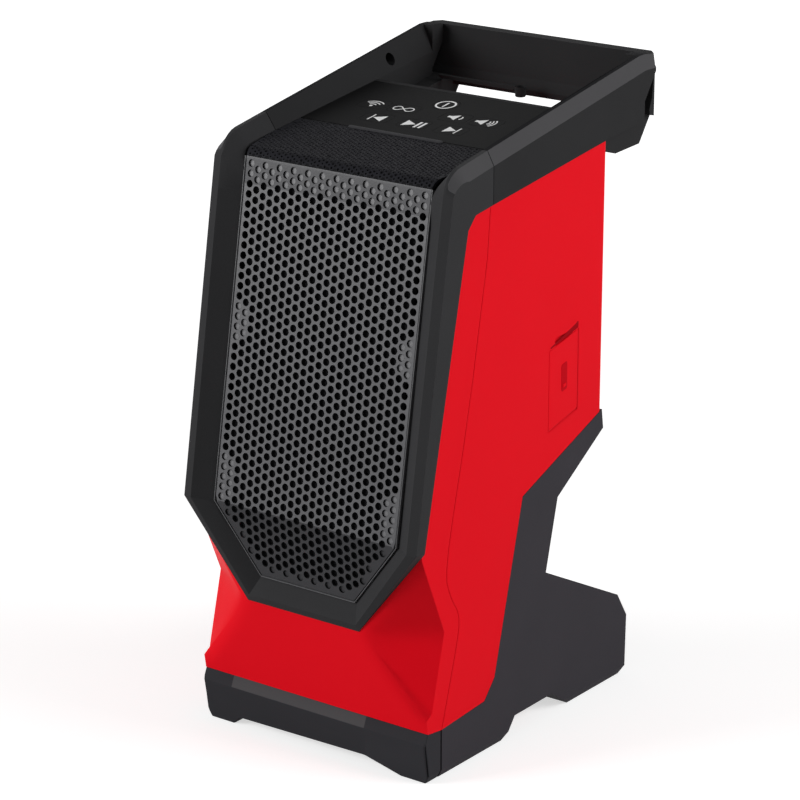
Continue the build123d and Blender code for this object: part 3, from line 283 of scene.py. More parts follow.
def dress(node, material, edge, steps=3, weld=0.001, sharper=None):
    """A copy of a node's mesh with flat faces joined and edges rounded, shown in place of the node.
    Widths are in millimetres. sharper gives an edge's share of the width from its middle's place."""
    mesh = bpy.data.meshes.new("shell_" + node)
    work = bmesh.new()
    work.from_mesh(nodes[node].data)
    bmesh.ops.remove_doubles(work, verts=work.verts, dist=weld / 1000)
    bmesh.ops.dissolve_limit(work, angle_limit=flat_within, verts=work.verts, edges=work.edges)
    weights = work.edges.layers.float.new("bevel_weight_edge")
    for line in work.edges:
        line[weights] = 0.0
        if len(line.link_faces) == 2 and line.calc_face_angle(0) > edge_above:
            x, y, z = in_millimetres((line.verts[0].co + line.verts[1].co) / 2)
            line[weights] = sharper(abs(x), y, z) if sharper else 1.0
    work.to_mesh(mesh)
    work.free()
    if "custom_normal" in mesh.attributes:
        mesh.attributes.remove(mesh.attributes["custom_normal"])
    mesh.polygons.foreach_set("use_smooth", [True] * len(mesh.polygons))
    mesh.materials.clear()
    mesh.materials.append(material)
    rough = bpy.data.objects.new("rough_" + node, mesh)
    scene.collection.objects.link(rough)
    bevel = rough.modifiers.new("round", "BEVEL")
    bevel.limit_method = "WEIGHT"
    bevel.width = edge / 1000
    bevel.segments = steps
    bevel.use_clamp_overlap = True
    bevel.miter_outer = "MITER_ARC"
    weighted = rough.modifiers.new("normals", "WEIGHTED_NORMAL")
    weighted.weight = 60
    bpy.context.view_layer.update()
    shown = rough.evaluated_get(bpy.context.evaluated_depsgraph_get())
    finished = bpy.data.meshes.new_from_object(shown)
    bpy.data.objects.remove(rough)
    finished.name = "moulded_" + node
    piece = bpy.data.objects.new("moulded_" + node, finished)
    scene.collection.objects.link(piece)
    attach(piece, body_of(node))
    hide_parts(node)
    return piece


# Where the rear pieces meet, in millimetres across, from the front and up
door_side = 45
door_front, door_back = 74, 103
door_foot, door_head = 116, 168
rear_from = 88
shell_foot = 125
base_head = 95


def off_the_door(across, along, level):
    """No rounding round the door's opening, where the door swings past, and less at the lower rear."""
    beside = across > door_side and door_front < along < door_back
    if beside and door_foot < level < door_head:
        return 0.0
    return 0.4 if along > rear_from and level < shell_foot else 1.0


def tight_at_shell(across, along, level):
    """Less rounding where the base meets the red shell at the rear."""
    return 0.25 if along > rear_from and level > base_head else 1.0


bezel = dress("grille_bezel", grip, 1.1, steps=4, weld=0.7)
front = dress("front_shell", red, 0.7)
dress("rear_shell", red, 0.6, sharper=off_the_door)
dress("side_door", red, 0.3)
bumper = dress("front_bumper", bumper_black, 0.8)
dress("rear_base", base_black, 0.9, sharper=tight_at_shell)
dress("base_plate", red, 0.4)
dress("foot_pads", soft_black, 0.5)
handle = dress("handle_frame", rail_black, 0.9)
dress("light_bar", bar_grey, 0.5)
dress("battery_bay", inner_black, 0.4)


# Second materials: some faces of the mouldings take a painted highlight or painted shade, and the red shell
# a black behind the grille
def divide(piece, *places):
    """Cuts a piece's faces at planes across it."""
    work = bmesh.new()
    work.from_mesh(piece.data)
    for across in places:
        geometry = list(work.verts) + list(work.edges) + list(work.faces)
        bmesh.ops.bisect_plane(work, geom=geometry, plane_co=(across / 1000, 0, 0), plane_no=(1, 0, 0))
    work.to_mesh(piece.data)
    work.free()


def paint(piece, material, test):
    """Gives a second material to the faces that pass a test of their place and the way they look."""
    piece.data.materials.append(material)
    slot = len(piece.data.materials) - 1
    for face in piece.data.polygons:
        if test(*in_millimetres(face.center), face.normal):
            face.material_index = slot


# Where they begin and end, in millimetres across, from the front and up
opening_foot = 71.0
opening_low, opening_high = 40.5, 41.7
wall_half = 42.0
bevel_left, bevel_right = -41.0, 26.0
bevel_foot = 14.0
rail_foot = 200.0
rail_outside = 53.5
rail_low, rail_high = 50.0, 54.5


def behind_grille(x, y, z, way):
    """The red shell's front wall behind the grille and the sides of its opening."""
    facing = way.y < -0.5 and abs(x) < wall_half
    opening = opening_low < abs(x) < opening_high and abs(way.x) > 0.5
    return z > opening_foot and (facing or opening)


def bumper_bevel(x, y, z, way):
    """The sloping face along the bumper's front, which takes a painted highlight."""
    return bevel_left < x < bevel_right and z > bevel_foot and way.y < -0.1 and 0.12 < way.z < 0.97


def bezel_chamfer(x, y, z, way):
    """The frame's upper chamfers that look outwards, which take a painted highlight."""
    return z > rail_foot and x * way.x > 20 and way.z > 0.3


# The rails' outer chamfers, which take a painted highlight
def rail_chamfer(x, y, z, way):
    return abs(x) > rail_outside and abs(way.x) > 0.3 and way.z > 0.3


# The rails' tops, which take painted shade
def rail_top(x, y, z, way):
    return rail_low < abs(x) < rail_high and way.z > 0.9


paint(front, behind_and_hole_shade_black, behind_grille)
# The bumper's bevel is cut where its painted highlight ends; the bevel and chamfers take a painted
# highlight, the rails' tops painted shade
divide(bumper, bevel_left, bevel_right)
paint(bumper, bevel_highlight_black, bumper_bevel)
paint(bezel, bevel_highlight_black, bezel_chamfer)
paint(handle, bevel_highlight_black, rail_chamfer)
paint(handle, rail_top_shade_black, rail_top)


# The chin's hollows flow into one another
def soften(piece, inside, reach, longest, rounds=5):
    """Divides the chosen faces finely and turns their shading gradually from one to the next."""
    mesh = piece.data
    work = bmesh.new()
    work.from_mesh(mesh)
    mark = work.faces.layers.int.new("soft")
    for face in work.faces:
        face[mark] = int(inside(*in_millimetres(face.calc_center_median()), face.normal))
    for _ in range(rounds):
        bmesh.ops.triangulate(work, faces=[face for face in work.faces if face[mark]])
        edges = {edge for face in work.faces if face[mark] for edge in face.edges}
        edges = [edge for edge in edges if edge.calc_length() > longest / 1000]
        if not edges:
            break
        bmesh.ops.subdivide_edges(work, edges=edges, cuts=1)
    bmesh.ops.triangulate(work, faces=[face for face in work.faces if face[mark]])
    work.to_mesh(mesh)
    work.free()
    mesh.validate()
    soft = [face.value for face in mesh.attributes["soft"].data]
    chosen = [face for face in mesh.polygons if soft[face.index]]
    tree = KDTree(len(chosen))
    for count, face in enumerate(chosen):
        tree.insert(face.center, count)
    tree.balance()
    known = {}
    ways = [Vector(corner.vector) for corner in mesh.corner_normals]
    for face in chosen:
        for corner in face.loop_indices:
            vertex = mesh.loops[corner].vertex_index
            if vertex not in known:
                total = Vector((0, 0, 0))
                for _, count, distance in tree.find_range(mesh.vertices[vertex].co, reach / 1000):
                    near = chosen[count]
                    total += near.normal * near.area * (1 - (distance * 1000 / reach) ** 2) ** 2
                known[vertex] = total.normalized() if total.length else face.normal.copy()
            ways[corner] = known[vertex]
    mesh.normals_split_custom_set(ways)


scoop_back = 10
scoop_foot, scoop_head = 22, 96


def scoops(x, y, z, way):
    """The red shell's front faces below the grille."""
    in_front = y < scoop_back and scoop_foot < z < scoop_head
    return in_front and way.y < -0.12 and abs(way.x) < 0.95


soften(front, scoops, reach=8.0, longest=3.6)


# The grille: one bent steel sheet with staggered round holes, blind near its edges
def lean(angle):
    return (cos(angle), sin(angle))


def cross(first, first_way, second, second_way):
    """Where two lines in the side view cross."""
    gap = (second[0] - first[0], second[1] - first[1])
    under = first_way[0] * second_way[1] - first_way[1] * second_way[0]
    reach = (gap[0] * second_way[1] - gap[1] * second_way[0]) / under
    return (first[0] + reach * first_way[0], first[1] + reach * first_way[1])


bend_radius = 5.0
nose_radius = 2.5
deck_reach = 14.6
chin_way = atan2(nose[1] - grille_foot[1], nose[0] - grille_foot[0])
apex = cross(nose, lean(face_angle), deck_front, lean(deck_angle))
nose_cut = nose_radius * tan((chin_way - face_angle) / 2)
bend_cut = bend_radius * tan((face_angle - deck_angle) / 2)
deck_end = (
    deck_front[0] + deck_reach * cos(deck_angle),
    deck_front[1] + deck_reach * sin(deck_angle),
)

# Runs of the sheet's profile: length and curvature, from the chin's edge to the panel
runs = [
    (dist(grille_foot, nose) - nose_cut, 0.0),
    (nose_radius * (chin_way - face_angle), 1 / nose_radius),
    (dist(nose, apex) - nose_cut - bend_cut, 0.0),
    (bend_radius * (face_angle - deck_angle), 1 / bend_radius),
    (dist(apex, deck_end) - bend_cut, 0.0),
]


def go_on(y, z, way, curve, reach):
    """A place and its direction in the side view, moved on along a straight run or an arc."""
    if not curve:
        return y + reach * cos(way), z + reach * sin(way), way
    turned = way - reach * curve
    return y + (sin(way) - sin(turned)) / curve, z + (cos(turned) - cos(way)) / curve, turned


run_starts = []
spot = (*grille_foot, chin_way)
sheet_length = 0.0
for length, curve in runs:
    run_starts.append((sheet_length, *spot, curve))
    spot = go_on(*spot, curve, length)
    sheet_length += length
nose_at = run_starts[1][0] + runs[1][0] / 2
face_top = run_starts[3][0]

# The face's sheet ends a little way into the bend, and the deck's goes on from there
split_share = 0.12
split = face_top + runs[3][0] * split_share


def on_sheet(x, along, rise):
    """A place on the bent sheet: across, along its profile and off its face."""
    start, *begin, curve = [run for run in run_starts if run[0] <= max(along, 0.0) + tiny][-1]
    y, z, way = go_on(*begin, curve, along - start)
    return place(x, y - rise * sin(way), z + rise * cos(way))


flare = 3.0
flare_run = 20.0


def sheet_half(along):
    """Half the sheet's width at a place along its profile."""
    if along < nose_at:
        return chin_half + (grille_half - chin_half) * along / nose_at
    if along > face_top:
        return grille_half + flare * min((along - face_top) / flare_run, 1.0)
    return grille_half


def edge_gap(x, along):
    """How far inside the sheet's side edge a place lies."""
    slant = cos(atan2(grille_half - chin_half, nose_at)) if along < nose_at else 1.0
    return (sheet_half(along) - abs(x)) * slant


def clip(points, inside, meet):
    """A flat polygon cut by a line: what lies inside it, with the places where its sides meet it."""
    kept = []
    for first, second in zip(points, points[1:] + points[:1]):
        if inside(first):
            kept.append(first)
        if inside(first) != inside(second):
            kept.append(meet(first, second))
    return kept


def clip_side(points, side):
    """A polygon cut at the sheet's right edge, side 1, or its left one, side -1."""
    def inside(spot):
        return side * spot[0] <= sheet_half(spot[1]) + tiny

    def part_way(first, second, share):
        return (first[0] + (second[0] - first[0]) * share, first[1] + (second[1] - first[1]) * share)

    def meet(first, second):
        low, high = 0.0, 1.0
        for _ in range(30):
            mid = (low + high) / 2
            if inside(part_way(first, second, mid)) == inside(first):
                low = mid
            else:
                high = mid
        return part_way(first, second, low)

    return clip(points, inside, meet)


def clip_level(points, level, way):
    """A polygon cut at a place along the sheet's profile: the part above it, way 1, or below, way -1."""
    def inside(spot):
        return way * (spot[1] - level) >= -tiny

    def meet(first, second):
        share = (level - first[1]) / (second[1] - first[1])
        return (first[0] + (second[0] - first[0]) * share, level)

    return clip(points, inside, meet)


def clip_cell(points, low, high):
    """A cell cut to the sheet's sides and to a stretch of its profile."""
    for side in (1, -1):
        points = clip_side(points, side)
    return clip_level(clip_level(points, low, 1), high, -1)


# Looks of the sheet's faces, in the order of its materials: plain steel, painted shade on the hole walls,
# painted light on the blind holes' floors, and painted shade on the chin and near the bend
plain, hole_wall, disc, on_chin, at_top = range(5)


class Sheet:
    """A mesh on the bent sheet whose corners are shared."""

    def __init__(self):
        self.verts, self.faces, self.looks, self.known = [], [], [], {}

    def vertex(self, x, along, rise):
        key = (round(x, 3), round(along, 3), round(rise, 3))
        if key not in self.known:
            self.known[key] = len(self.verts)
            self.verts.append(on_sheet(x, along, rise))
        return self.known[key]

    def face(self, corners, look=plain):
        if len(set(corners)) >= 3:
            self.faces.append(corners)
            self.looks.append(look)

    def piece(self, name, slot, material, *others):
        made = new_piece(name, self.verts, self.faces, material, "housing")
        for other in others:
            made.data.materials.append(other)
        made.data.polygons.foreach_set("material_index", self.looks)
        made.data.set_sharp_from_angle(angle=sharp_above)
        work = bmesh.new()
        work.from_mesh(made.data)
        bmesh.ops.recalc_face_normals(work, faces=work.faces)
        work.to_mesh(made.data)
        work.free()
        return made


def hexagon(x, along, reach):
    """A cell's outline: its six corners with the middles of its sides."""
    corners = []
    for turn in range(6):
        way = radians(60 * turn)
        corners.append((x + reach * cos(way), along + reach * sin(way)))
    outline = []
    for start, end in zip(corners, corners[1:] + corners[:1]):
        outline += [start, ((start[0] + end[0]) / 2, (start[1] + end[1]) / 2)]
    return outline


strip = 0.5


def plain_cell(sheet, outline, kept, low, high):
    """A cell without a hole: one face where the sheet is flat, and narrow strips near its bend."""
    lowest, highest = min(along for _, along in kept), max(along for _, along in kept)
    if highest < face_top - pitch:
        bits = [kept]
    else:
        starts = [k * strip for k in range(int(lowest / strip), int(highest / strip) + 1)]
        bits = [clip_cell(outline, max(low, start), min(high, start + strip)) for start in starts]
    for bit in bits:
        if len(bit) >= 3:
            sheet.face([sheet.vertex(x, along, 0.0) for x, along in bit])


def pierced_cell(sheet, outline, sides, rings, floor, centre):
    """A cell with a hole: the sheet round its rim, its wall from ring to ring, and any floor."""
    turns = [2 * pi * k / sides for k in range(sides)]
    loops = []
    for radius, rise in rings:
        loops.append([
            sheet.vertex(centre[0] + radius * cos(turn), centre[1] + radius * sin(turn), rise)
            for turn in turns
        ])
    outer = [sheet.vertex(x, along, 0.0) for x, along in outline]
    part = sides // len(outer)
    for k, corner in enumerate(outer):
        rim = [loops[0][(k * part + j) % sides] for j in range(part, -1, -1)]
        sheet.face([corner, outer[(k + 1) % len(outer)]] + rim)
    # The wall and the eased rim above it take the hole_wall look: painted shade
    for upper, lower in zip(loops, loops[1:]):
        for k in range(sides):
            nxt = (k + 1) % sides
            sheet.face([upper[k], upper[nxt], lower[nxt], lower[k]], hole_wall)
    if floor is not None:
        sheet.face(loops[-1], floor)


cells_half = 50


def cells(sheet, low, high, step, first, sides, hole_at):
    """Staggered six-sided cells over a stretch of the sheet. hole_at gives a cell's hole: its rings as
    radius and rise, from the rim inwards, the look of its floor where it has one, and its middle."""
    gap = step * cos(radians(30))
    reach = step / 3 ** 0.5
    columns = int(cells_half / gap) + 1
    for column in range(-columns, columns + 1):
        for row in range(int((low - first) / step) - 2, int((high - first) / step) + 2):
            x, along = column * gap, first + (row + (column % 2) / 2) * step
            outline = hexagon(x, along, reach)
            kept = clip_cell(outline, low, high)
            whole = len(kept) == len(outline)
            hole = hole_at(x, along, column) if whole else None
            if hole:
                pierced_cell(sheet, outline, sides, *hole)
            elif len(kept) >= 3:
                plain_cell(sheet, outline, kept, low, high)


# Where the grille has no holes, and where they are blind, in millimetres from its edges and its nose
bare_side, bare_foot, bare_above = 1.9, 2.2, 137
blind_side, blind_foot, blind_above = 3.3, 5.0, 127
patch_column = 11
patches = ((0, 19), (65, 79))

# The holes' eased rims and walls, as radius and rise
open_rings = [(hole_radius + 0.12, 0.0), (hole_radius, -0.10), (hole_radius, -sheet_thick)]
blind_rings = [(hole_radius + 0.08, 0.0), (hole_radius, -0.06), (hole_radius - 0.02, -0.75)]


def face_hole(x, along, column):
    """The grille's holes: open, but blind near the bend, at the chin's edge and in the side patches."""
    above = along - nose_at
    inset = edge_gap(x, along)
    if inset < bare_side or along < bare_foot or above > bare_above:
        return None
    patch = abs(column) >= patch_column and any(low < above < high for low, high in patches)
    chin_edge = along < blind_foot or inset < blind_side and above < 0
    if patch or chin_edge or above > blind_above:
        # The blind holes' floors take the disc look: painted light
        return blind_rings, disc, (x, along)
    return open_rings, None, (x, along)


# The deck's pits: their staggered lattice, sizes and drift from its places
deck_pitch = 1.9
deck_first = split + 1.2
pit_radii = (0.36, 0.68)
pit_depths = (0.30, 0.55)
pit_drift = 0.2
pit_random = Random(5)


def deck_hole(x, along, column):
    """The deck's small uneven pits."""
    radius = pit_random.uniform(*pit_radii)
    deep = pit_random.uniform(*pit_depths)
    x += pit_random.uniform(-pit_drift, pit_drift)
    along += pit_random.uniform(-pit_drift, pit_drift)
    # The pits' walls and floors take the hole_wall look: painted shade
    return [(radius, 0.0), (radius * 0.85, -deep * 0.6), (radius * 0.6, -deep)], hole_wall, (x, along)


def side_path(*stretches):
    """The sheet's right edge over stretches of its profile, each with its start, its end and its steps."""
    start = stretches[0][0]
    path = [(sheet_half(start), start)]
    for low, high, steps in stretches:
        for k in range(1, steps + 1):
            along = low + (high - low) * k / steps
            path.append((sheet_half(along), along))
    return path


def mirrored(path):
    return [(-x, along) for x, along in reversed(path)]


edge_levels = [(0.0, 0.0), (0.12, -0.12), (0.14, -sheet_thick)]


def turned_down(sheet, outline):
    """The sheet's edge, rounded over and turned down along an outline."""
    for (x0, along0), (x1, along1) in zip(outline, outline[1:]):
        for (out0, rise0), (out1, rise1) in zip(edge_levels, edge_levels[1:]):
            quad = []
            for x, along, out, rise in (
                (x0, along0, out0, rise0), (x1, along1, out0, rise0),
                (x1, along1, out1, rise1), (x0, along0, out1, rise1),
            ):
                quad.append(sheet.vertex(x + (out if x > 0 else -out), along, rise))
            sheet.face(quad[::-1])


grille_mesh = Sheet()
cells(grille_mesh, 0.0, split, pitch, nose_at + pitch / 2, 24, face_hole)
face_side = side_path((0.0, nose_at, 2), (nose_at, face_top, 8), (face_top, split, 4))
turned_down(grille_mesh, mirrored(face_side) + face_side)
grille_piece = grille_mesh.piece(
    "grille_sheet", "grille_steel", steel_black, behind_and_hole_shade_black, disc_lit_steel, chin_shade_steel, top_shade_steel,
)
# Painted shade: faces below the nose take the darker chin steel, and plain faces near the bend the darker
# top steel
chin_below = nose[1] - 0.2
top_above = 222.0
for face in grille_piece.data.polygons:
    level = face.center.z * 1000
    if face.material_index != hole_wall and level < chin_below:
        face.material_index = on_chin
    elif face.material_index == plain and level > top_above:
        face.material_index = at_top
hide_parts("grille")

# The deck's darker steel is painted shade where the sheet faces up
deck_mesh = Sheet()
cells(deck_mesh, split, sheet_length, deck_pitch, deck_first, 12, deck_hole)
deck_side = side_path((split, sheet_length, 10))
turned_down(deck_mesh, deck_side + mirrored(deck_side))
deck_mesh.piece("grille_deck", "grille_steel", deck_shade_black, behind_and_hole_shade_black)


# A thin lip of the frame stands round the grille, with a dark line on either side of it; its grey, lighter
# than the frame's black, is a painted highlight
def outset(points, distance):
    """A line moved outwards, to its right, with its corners mitred."""
    lines = []
    for first, second in zip(points, points[1:]):
        length = dist(first, second)
        way = ((second[0] - first[0]) / length, (second[1] - first[1]) / length)
        lines.append(((first[0] + way[1] * distance, first[1] - way[0] * distance), way, length))
    moved = [lines[0][0]]
    for first, second in zip(lines, lines[1:]):
        if abs(first[1][0] * second[1][1] - first[1][1] * second[1][0]) < 1e-6:
            moved.append(second[0])
        else:
            moved.append(cross(first[0], first[1], second[0], second[1]))
    start, way, length = lines[-1]
    moved.append((start[0] + way[0] * length, start[1] + way[1] * length))
    return moved


rim_section = [(0.46, -1.1), (0.46, 0.14), (0.54, 0.26), (0.74, 0.26), (0.84, 0.16), (0.84, -1.1)]
rim_side = side_path((0.0, nose_at, 1), (nose_at, face_top, 8), (face_top, split, 5))
rim_line = mirrored(rim_side) + rim_side
rim_mesh = Sheet()
rim_rows = []
for out, rise in rim_section:
    rim_rows.append([rim_mesh.vertex(x, along, rise) for x, along in outset(rim_line, out)])
for low_row, high_row in zip(rim_rows, rim_rows[1:] + rim_rows[:1]):
    for k in range(len(low_row) - 1):
        rim_mesh.face([low_row[k], low_row[k + 1], high_row[k + 1], high_row[k]])
for end in (0, -1):
    rim_mesh.face([row[end] for row in rim_rows])
# The lip's lighter grey is a painted highlight
rim_mesh.piece("grille_rim_painted_highlight", "black_grip", rim_highlight_grey)

# Pictograms: thin white prints on the keys, drawn on the deck's plane
print_top, print_foot = 0.05, -0.03


def on_deck_plane(x, reach, rise):
    return place(
        x,
        deck_front[0] + reach * cos(deck_angle) - rise * sin(deck_angle),
        deck_front[1] + reach * sin(deck_angle) + rise * cos(deck_angle),
    )


def arc(centre, radius, width, start, end, count=24):
    """A curved stroke as short four-sided pieces. Its angles are in degrees."""
    outer, inner = [], []
    for k in range(count + 1):
        turn = radians(start + (end - start) * k / count)
        for line, reach in ((outer, radius + width / 2), (inner, radius - width / 2)):
            line.append((centre[0] + reach * cos(turn), centre[1] + reach * sin(turn)))
    return [outer[k:k + 2] + inner[k:k + 2][::-1] for k in range(count)]


def stroke(first, second, width):
    length = dist(first, second)
    run, rise = second[0] - first[0], second[1] - first[1]
    side = (-rise / length * width / 2, run / length * width / 2)
    return [[
        (first[0] + side[0], first[1] + side[1]), (first[0] - side[0], first[1] - side[1]),
        (second[0] - side[0], second[1] - side[1]), (second[0] + side[0], second[1] + side[1]),
    ]]


def upright(x, y, half, width):
    return stroke((x, y - half), (x, y + half), width)


def arrow(back, tip, y, half):
    """A triangle that points left or right."""
    corners = [(back, y - half), (tip, y), (back, y + half)]
    return [corners if tip > back else corners[::-1]]


def loudspeaker(x, y, waves):
    """A loudspeaker seen from its side, with a wave of each radius and width before it."""
    sign = [[
        (x, y - 0.8), (x + 1.4, y - 0.8), (x + 4.3, y - 2.8),
        (x + 4.3, y + 2.8), (x + 1.4, y + 0.8), (x, y + 0.8),
    ]]
    for radius, width in waves:
        sign += arc((x + 4.3, y), radius, width, -42, 42)
    return sign


def linked_rings(x, y):
    """Two rings joined by crossed strokes."""
    rings = arc((x - 2.8, y), 1.9, 0.5, 40, 320) + arc((x + 2.8, y), 1.9, 0.5, -140, 140)
    for side in (1, -1):
        rings += stroke((x - 1.5, y + 1.3 * side), (x + 1.5, y - 1.3 * side), 0.5)
    return rings


def fan(x, y):
    """Arcs above a dot."""
    sign = arc((x, y), 0.35, 0.7, 0, 360)
    for radius in (2.0, 3.6, 5.2):
        sign += arc((x, y), radius, 0.55, 40, 140)
    return sign


signs = {
    "previous": upright(-21.2, 27.2, 3.0, 0.6) + arrow(-15.3, -20.3, 27.2, 3.0),
    "play": arrow(-5.0, 0.3, 27.1, 3.0) + upright(1.4, 27.1, 3.0, 1.1) + upright(3.6, 27.1, 3.0, 1.1),
    "next": arrow(14.5, 19.3, 27.5, 2.9) + upright(20.0, 27.5, 2.9, 0.6),
    "volume_down": loudspeaker(6.6, 40.2, [(2.2, 0.6)]),
    "volume_up": loudspeaker(19.8, 40.2, [(2.2, 0.55), (3.5, 0.55), (4.8, 0.6)]),
    "link": linked_rings(-15.1, 40.1),
    "wireless": fan(-29.8, 38.0),
    "power": arc((-2.3, 50.9), 4.0, 0.8, 0, 360, 48) + upright(-2.3, 50.9, 2.4, 0.75),
}
for key, shapes in signs.items():
    verts, faces = [], []
    for shape in shapes:
        start, count = len(verts), len(shape)
        for rise in (print_top, print_foot):
            verts += [on_deck_plane(x, reach, rise) for x, reach in shape]
        faces.append(list(range(start, start + count)))
        faces += walls(start, count)
    new_piece("print_" + key, verts, faces, print_white, "key_" + key, smooth=False)


# The door's marks: a shallow slot drawn as painted shade, with a catch at its lower end, and the painted
# shade of its finger hollow
def door_mark(name, corners, proud, material, body="side_door"):
    """A thin raised shape on the door's outer face, from places counted along and up, with eased edges."""
    count = len(corners)
    mid_y, mid_z = (sum(corner[k] for corner in corners) / count for k in (0, 1))
    verts = []
    for out, share in ((-0.2, 1.0), (proud * 0.6, 1.0), (proud, 0.94)):
        for y, z in corners:
            verts.append(place(shell_half + out, mid_y + (y - mid_y) * share, mid_z + (z - mid_z) * share))
    faces = [list(range(2 * count, 3 * count))] + walls(0, count, 3)
    piece = new_piece(name, verts, faces, material, body, smooth=False)


slot_outline = [
    (87.2, 138.0), (87.8, 137.3), (90.8, 138.0), (91.2, 138.8),
    (91.0, 148.6), (90.5, 149.3), (87.5, 148.6), (87.0, 147.8),
]
catch_outline = [(88.2, 138.9), (90.2, 139.4), (90.1, 140.6), (88.1, 140.1)]
hollow_outline = [
    (79.4, 156.9), (98.0, 161.2), (98.5, 161.6), (98.6, 163.6), (98.0, 164.0), (96.6, 163.2), (79.2, 157.5),
]
# The slot and the finger hollow are raised marks in darker red: painted shade
door_mark("door_slot_painted_shade", slot_outline, 0.12, slot_shade_red)
door_mark("door_catch", catch_outline, 0.35, red)
door_mark("door_finger_hollow_painted_shade", hollow_outline, 0.06, hollow_shade_red, body="housing")

# A rib and a screw boss below the crossbar
rib_foot = 243.6
rib_ease = 0.25
rib_places = ((136.2, rib_ease), (136.5, 0.0), (137.9, 0.0), (138.2, rib_ease))
rib_outline = [(-41.0, 0.0), (-39.5, -1.5), (-3.0, -1.7), (-2.0, -1.2), (-1.4, 0.0)]
rib_verts = []
for y, ease in rib_places:
    for x, drop in rib_outline:
        rib_verts.append(place(x, y, rib_foot + drop + (ease if drop < 0 else 0.0)))
rib_count = len(rib_outline)
rib_faces = walls(0, rib_count, len(rib_places))
rib_faces.append(list(range(rib_count))[::-1])
rib_faces.append(list(range(len(rib_verts) - rib_count, len(rib_verts))))
rib_piece = new_piece("crossbar_rib", rib_verts, rib_faces, rail_black, "housing", smooth=False)

boss_y, boss_foot = 137.2, 239.6
boss_sides = 28
boss_profile = [(0.9, 0.9), (1.0, 0.1), (1.2, 0.0), (1.9, 0.0), (2.2, 0.3), (2.35, 4.2)]
boss_verts = []
for radius, height in boss_profile:
    for k in range(boss_sides):
        turn = 2 * pi * k / boss_sides
        boss_verts.append(place(radius * cos(turn), boss_y + radius * sin(turn), boss_foot + height))
boss_faces = walls(0, boss_sides, len(boss_profile))
boss_faces.append(list(range(boss_sides)))
boss_piece = new_piece("crossbar_boss", boss_verts, boss_faces, rail_black, "housing")
boss_piece.data.set_sharp_from_angle(angle=sharp_above)


# Stage: floor, world, lamps and camera
white = (1, 1, 1, 1)


def seen_rays(tree):
    """One where a ray comes from the camera, a reflection or a see-through surface, else zero."""
    path = tree.nodes.new("ShaderNodeLightPath")
    total = path.outputs["Is Camera Ray"]
    for name in ("Is Glossy Ray", "Is Transmission Ray"):
        added = tree.nodes.new("ShaderNodeMath")
        added.operation = "ADD"
        added.use_clamp = True
        tree.links.new(total, added.inputs[0])
        tree.links.new(path.outputs[name], added.inputs[1])
        total = added.outputs[0]
    return total


def pale_floor():
    """A matt floor that turns white away from the speaker, and keeps its shadow."""
    material, tree, shader = node_kit("floor")
    tree.nodes.remove(shader)
    diffuse = tree.nodes.new("ShaderNodeBsdfDiffuse")
    diffuse.inputs["Color"].default_value = (0.62, 0.62, 0.62, 1)
    ground = tree.nodes.new("ShaderNodeNewGeometry")
    distance = tree.nodes.new("ShaderNodeVectorMath")
    distance.operation = "LENGTH"
    tree.links.new(ground.outputs["Position"], distance.inputs[0])
    lift = tree.nodes.new("ShaderNodeMath")
    lift.operation = "MULTIPLY"
    tree.links.new(seen_rays(tree), lift.inputs[0])
    tree.links.new(between(tree, distance.outputs["Value"], 0.62, 1.0, 0.35, 1.3), lift.inputs[1])
    glow = tree.nodes.new("ShaderNodeEmission")
    glow.inputs["Color"].default_value = white
    tree.links.new(lift.outputs[0], glow.inputs["Strength"])
    both = tree.nodes.new("ShaderNodeAddShader")
    tree.links.new(diffuse.outputs[0], both.inputs[0])
    tree.links.new(glow.outputs[0], both.inputs[1])
    tree.links.new(both.outputs[0], tree.nodes["Material Output"].inputs["Surface"])
    return material


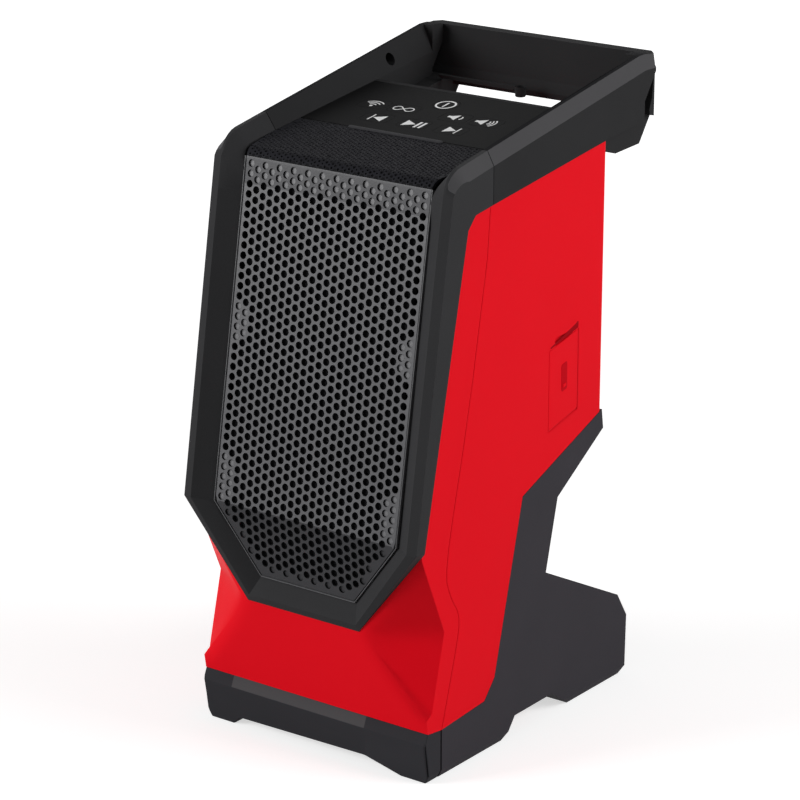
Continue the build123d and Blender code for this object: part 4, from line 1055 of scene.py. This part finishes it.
# The floor is a square in metres, a hair below the feet
floor_half = 8
floor_level = -0.0001
corners = ((-1, -1), (1, -1), (1, 1), (-1, 1))
floor_corners = [(x * floor_half, y * floor_half, floor_level) for x, y in corners]
floor_mesh = bpy.data.meshes.new("floor")
floor_mesh.from_pydata(floor_corners, [], [(0, 1, 2, 3)])
floor_mesh.materials.append(pale_floor())
floor = bpy.data.objects.new("floor", floor_mesh)
scene.collection.objects.link(floor)

# The world lights the speaker softly and looks white to the camera and in reflections
world = bpy.data.worlds.new("studio")
scene.world = world
world.use_nodes = True
tree = world.node_tree
lit = tree.nodes["Background"]
seen = tree.nodes.new("ShaderNodeBackground")
for background, strength in ((lit, 0.20), (seen, 1.0)):
    background.inputs["Color"].default_value = white
    background.inputs["Strength"].default_value = strength
mixed = tree.nodes.new("ShaderNodeMixShader")
tree.links.new(seen_rays(tree), mixed.inputs["Fac"])
tree.links.new(lit.outputs[0], mixed.inputs[1])
tree.links.new(seen.outputs[0], mixed.inputs[2])
tree.links.new(mixed.outputs[0], tree.nodes["World Output"].inputs["Surface"])

target = place(0, 60, 130)


def lamp(name, azimuth, elevation, distance, size, power):
    """A square soft box aimed at the speaker, in metres and watts. Its azimuth is counted in degrees
    from the front towards the right."""
    data = bpy.data.lights.new(name, "AREA")
    data.size = size
    data.energy = power
    made = bpy.data.objects.new(name, data)
    scene.collection.objects.link(made)
    turn, rise = radians(azimuth), radians(elevation)
    made.location = target + distance * Vector((sin(turn) * cos(rise), -cos(turn) * cos(rise), sin(rise)))
    made.rotation_euler = (made.location - target).to_track_quat("Z", "Y").to_euler()


lamp("key", -40, 20, 1.6, 0.8, 20)
lamp("side", 110, 26, 1.6, 0.9, 18.5)

# The camera stands where the photograph's did, found from the object's known edges
camera_data = bpy.data.cameras.new("camera")
camera_data.lens = 141.95
camera_data.sensor_width = 36.0
camera_data.shift_x = 0.0208
camera_data.shift_y = 0.005
camera_data.clip_end = 30
camera = bpy.data.objects.new("camera", camera_data)
scene.collection.objects.link(camera)
camera.location = place(714.3, -897.1, 523.3)
turn, rise, roll = radians(37.147), radians(18.294), radians(0.095)
camera.rotation_euler = (pi / 2 - rise, roll, turn)
scene.camera = camera

scene.view_settings.view_transform = "Standard"
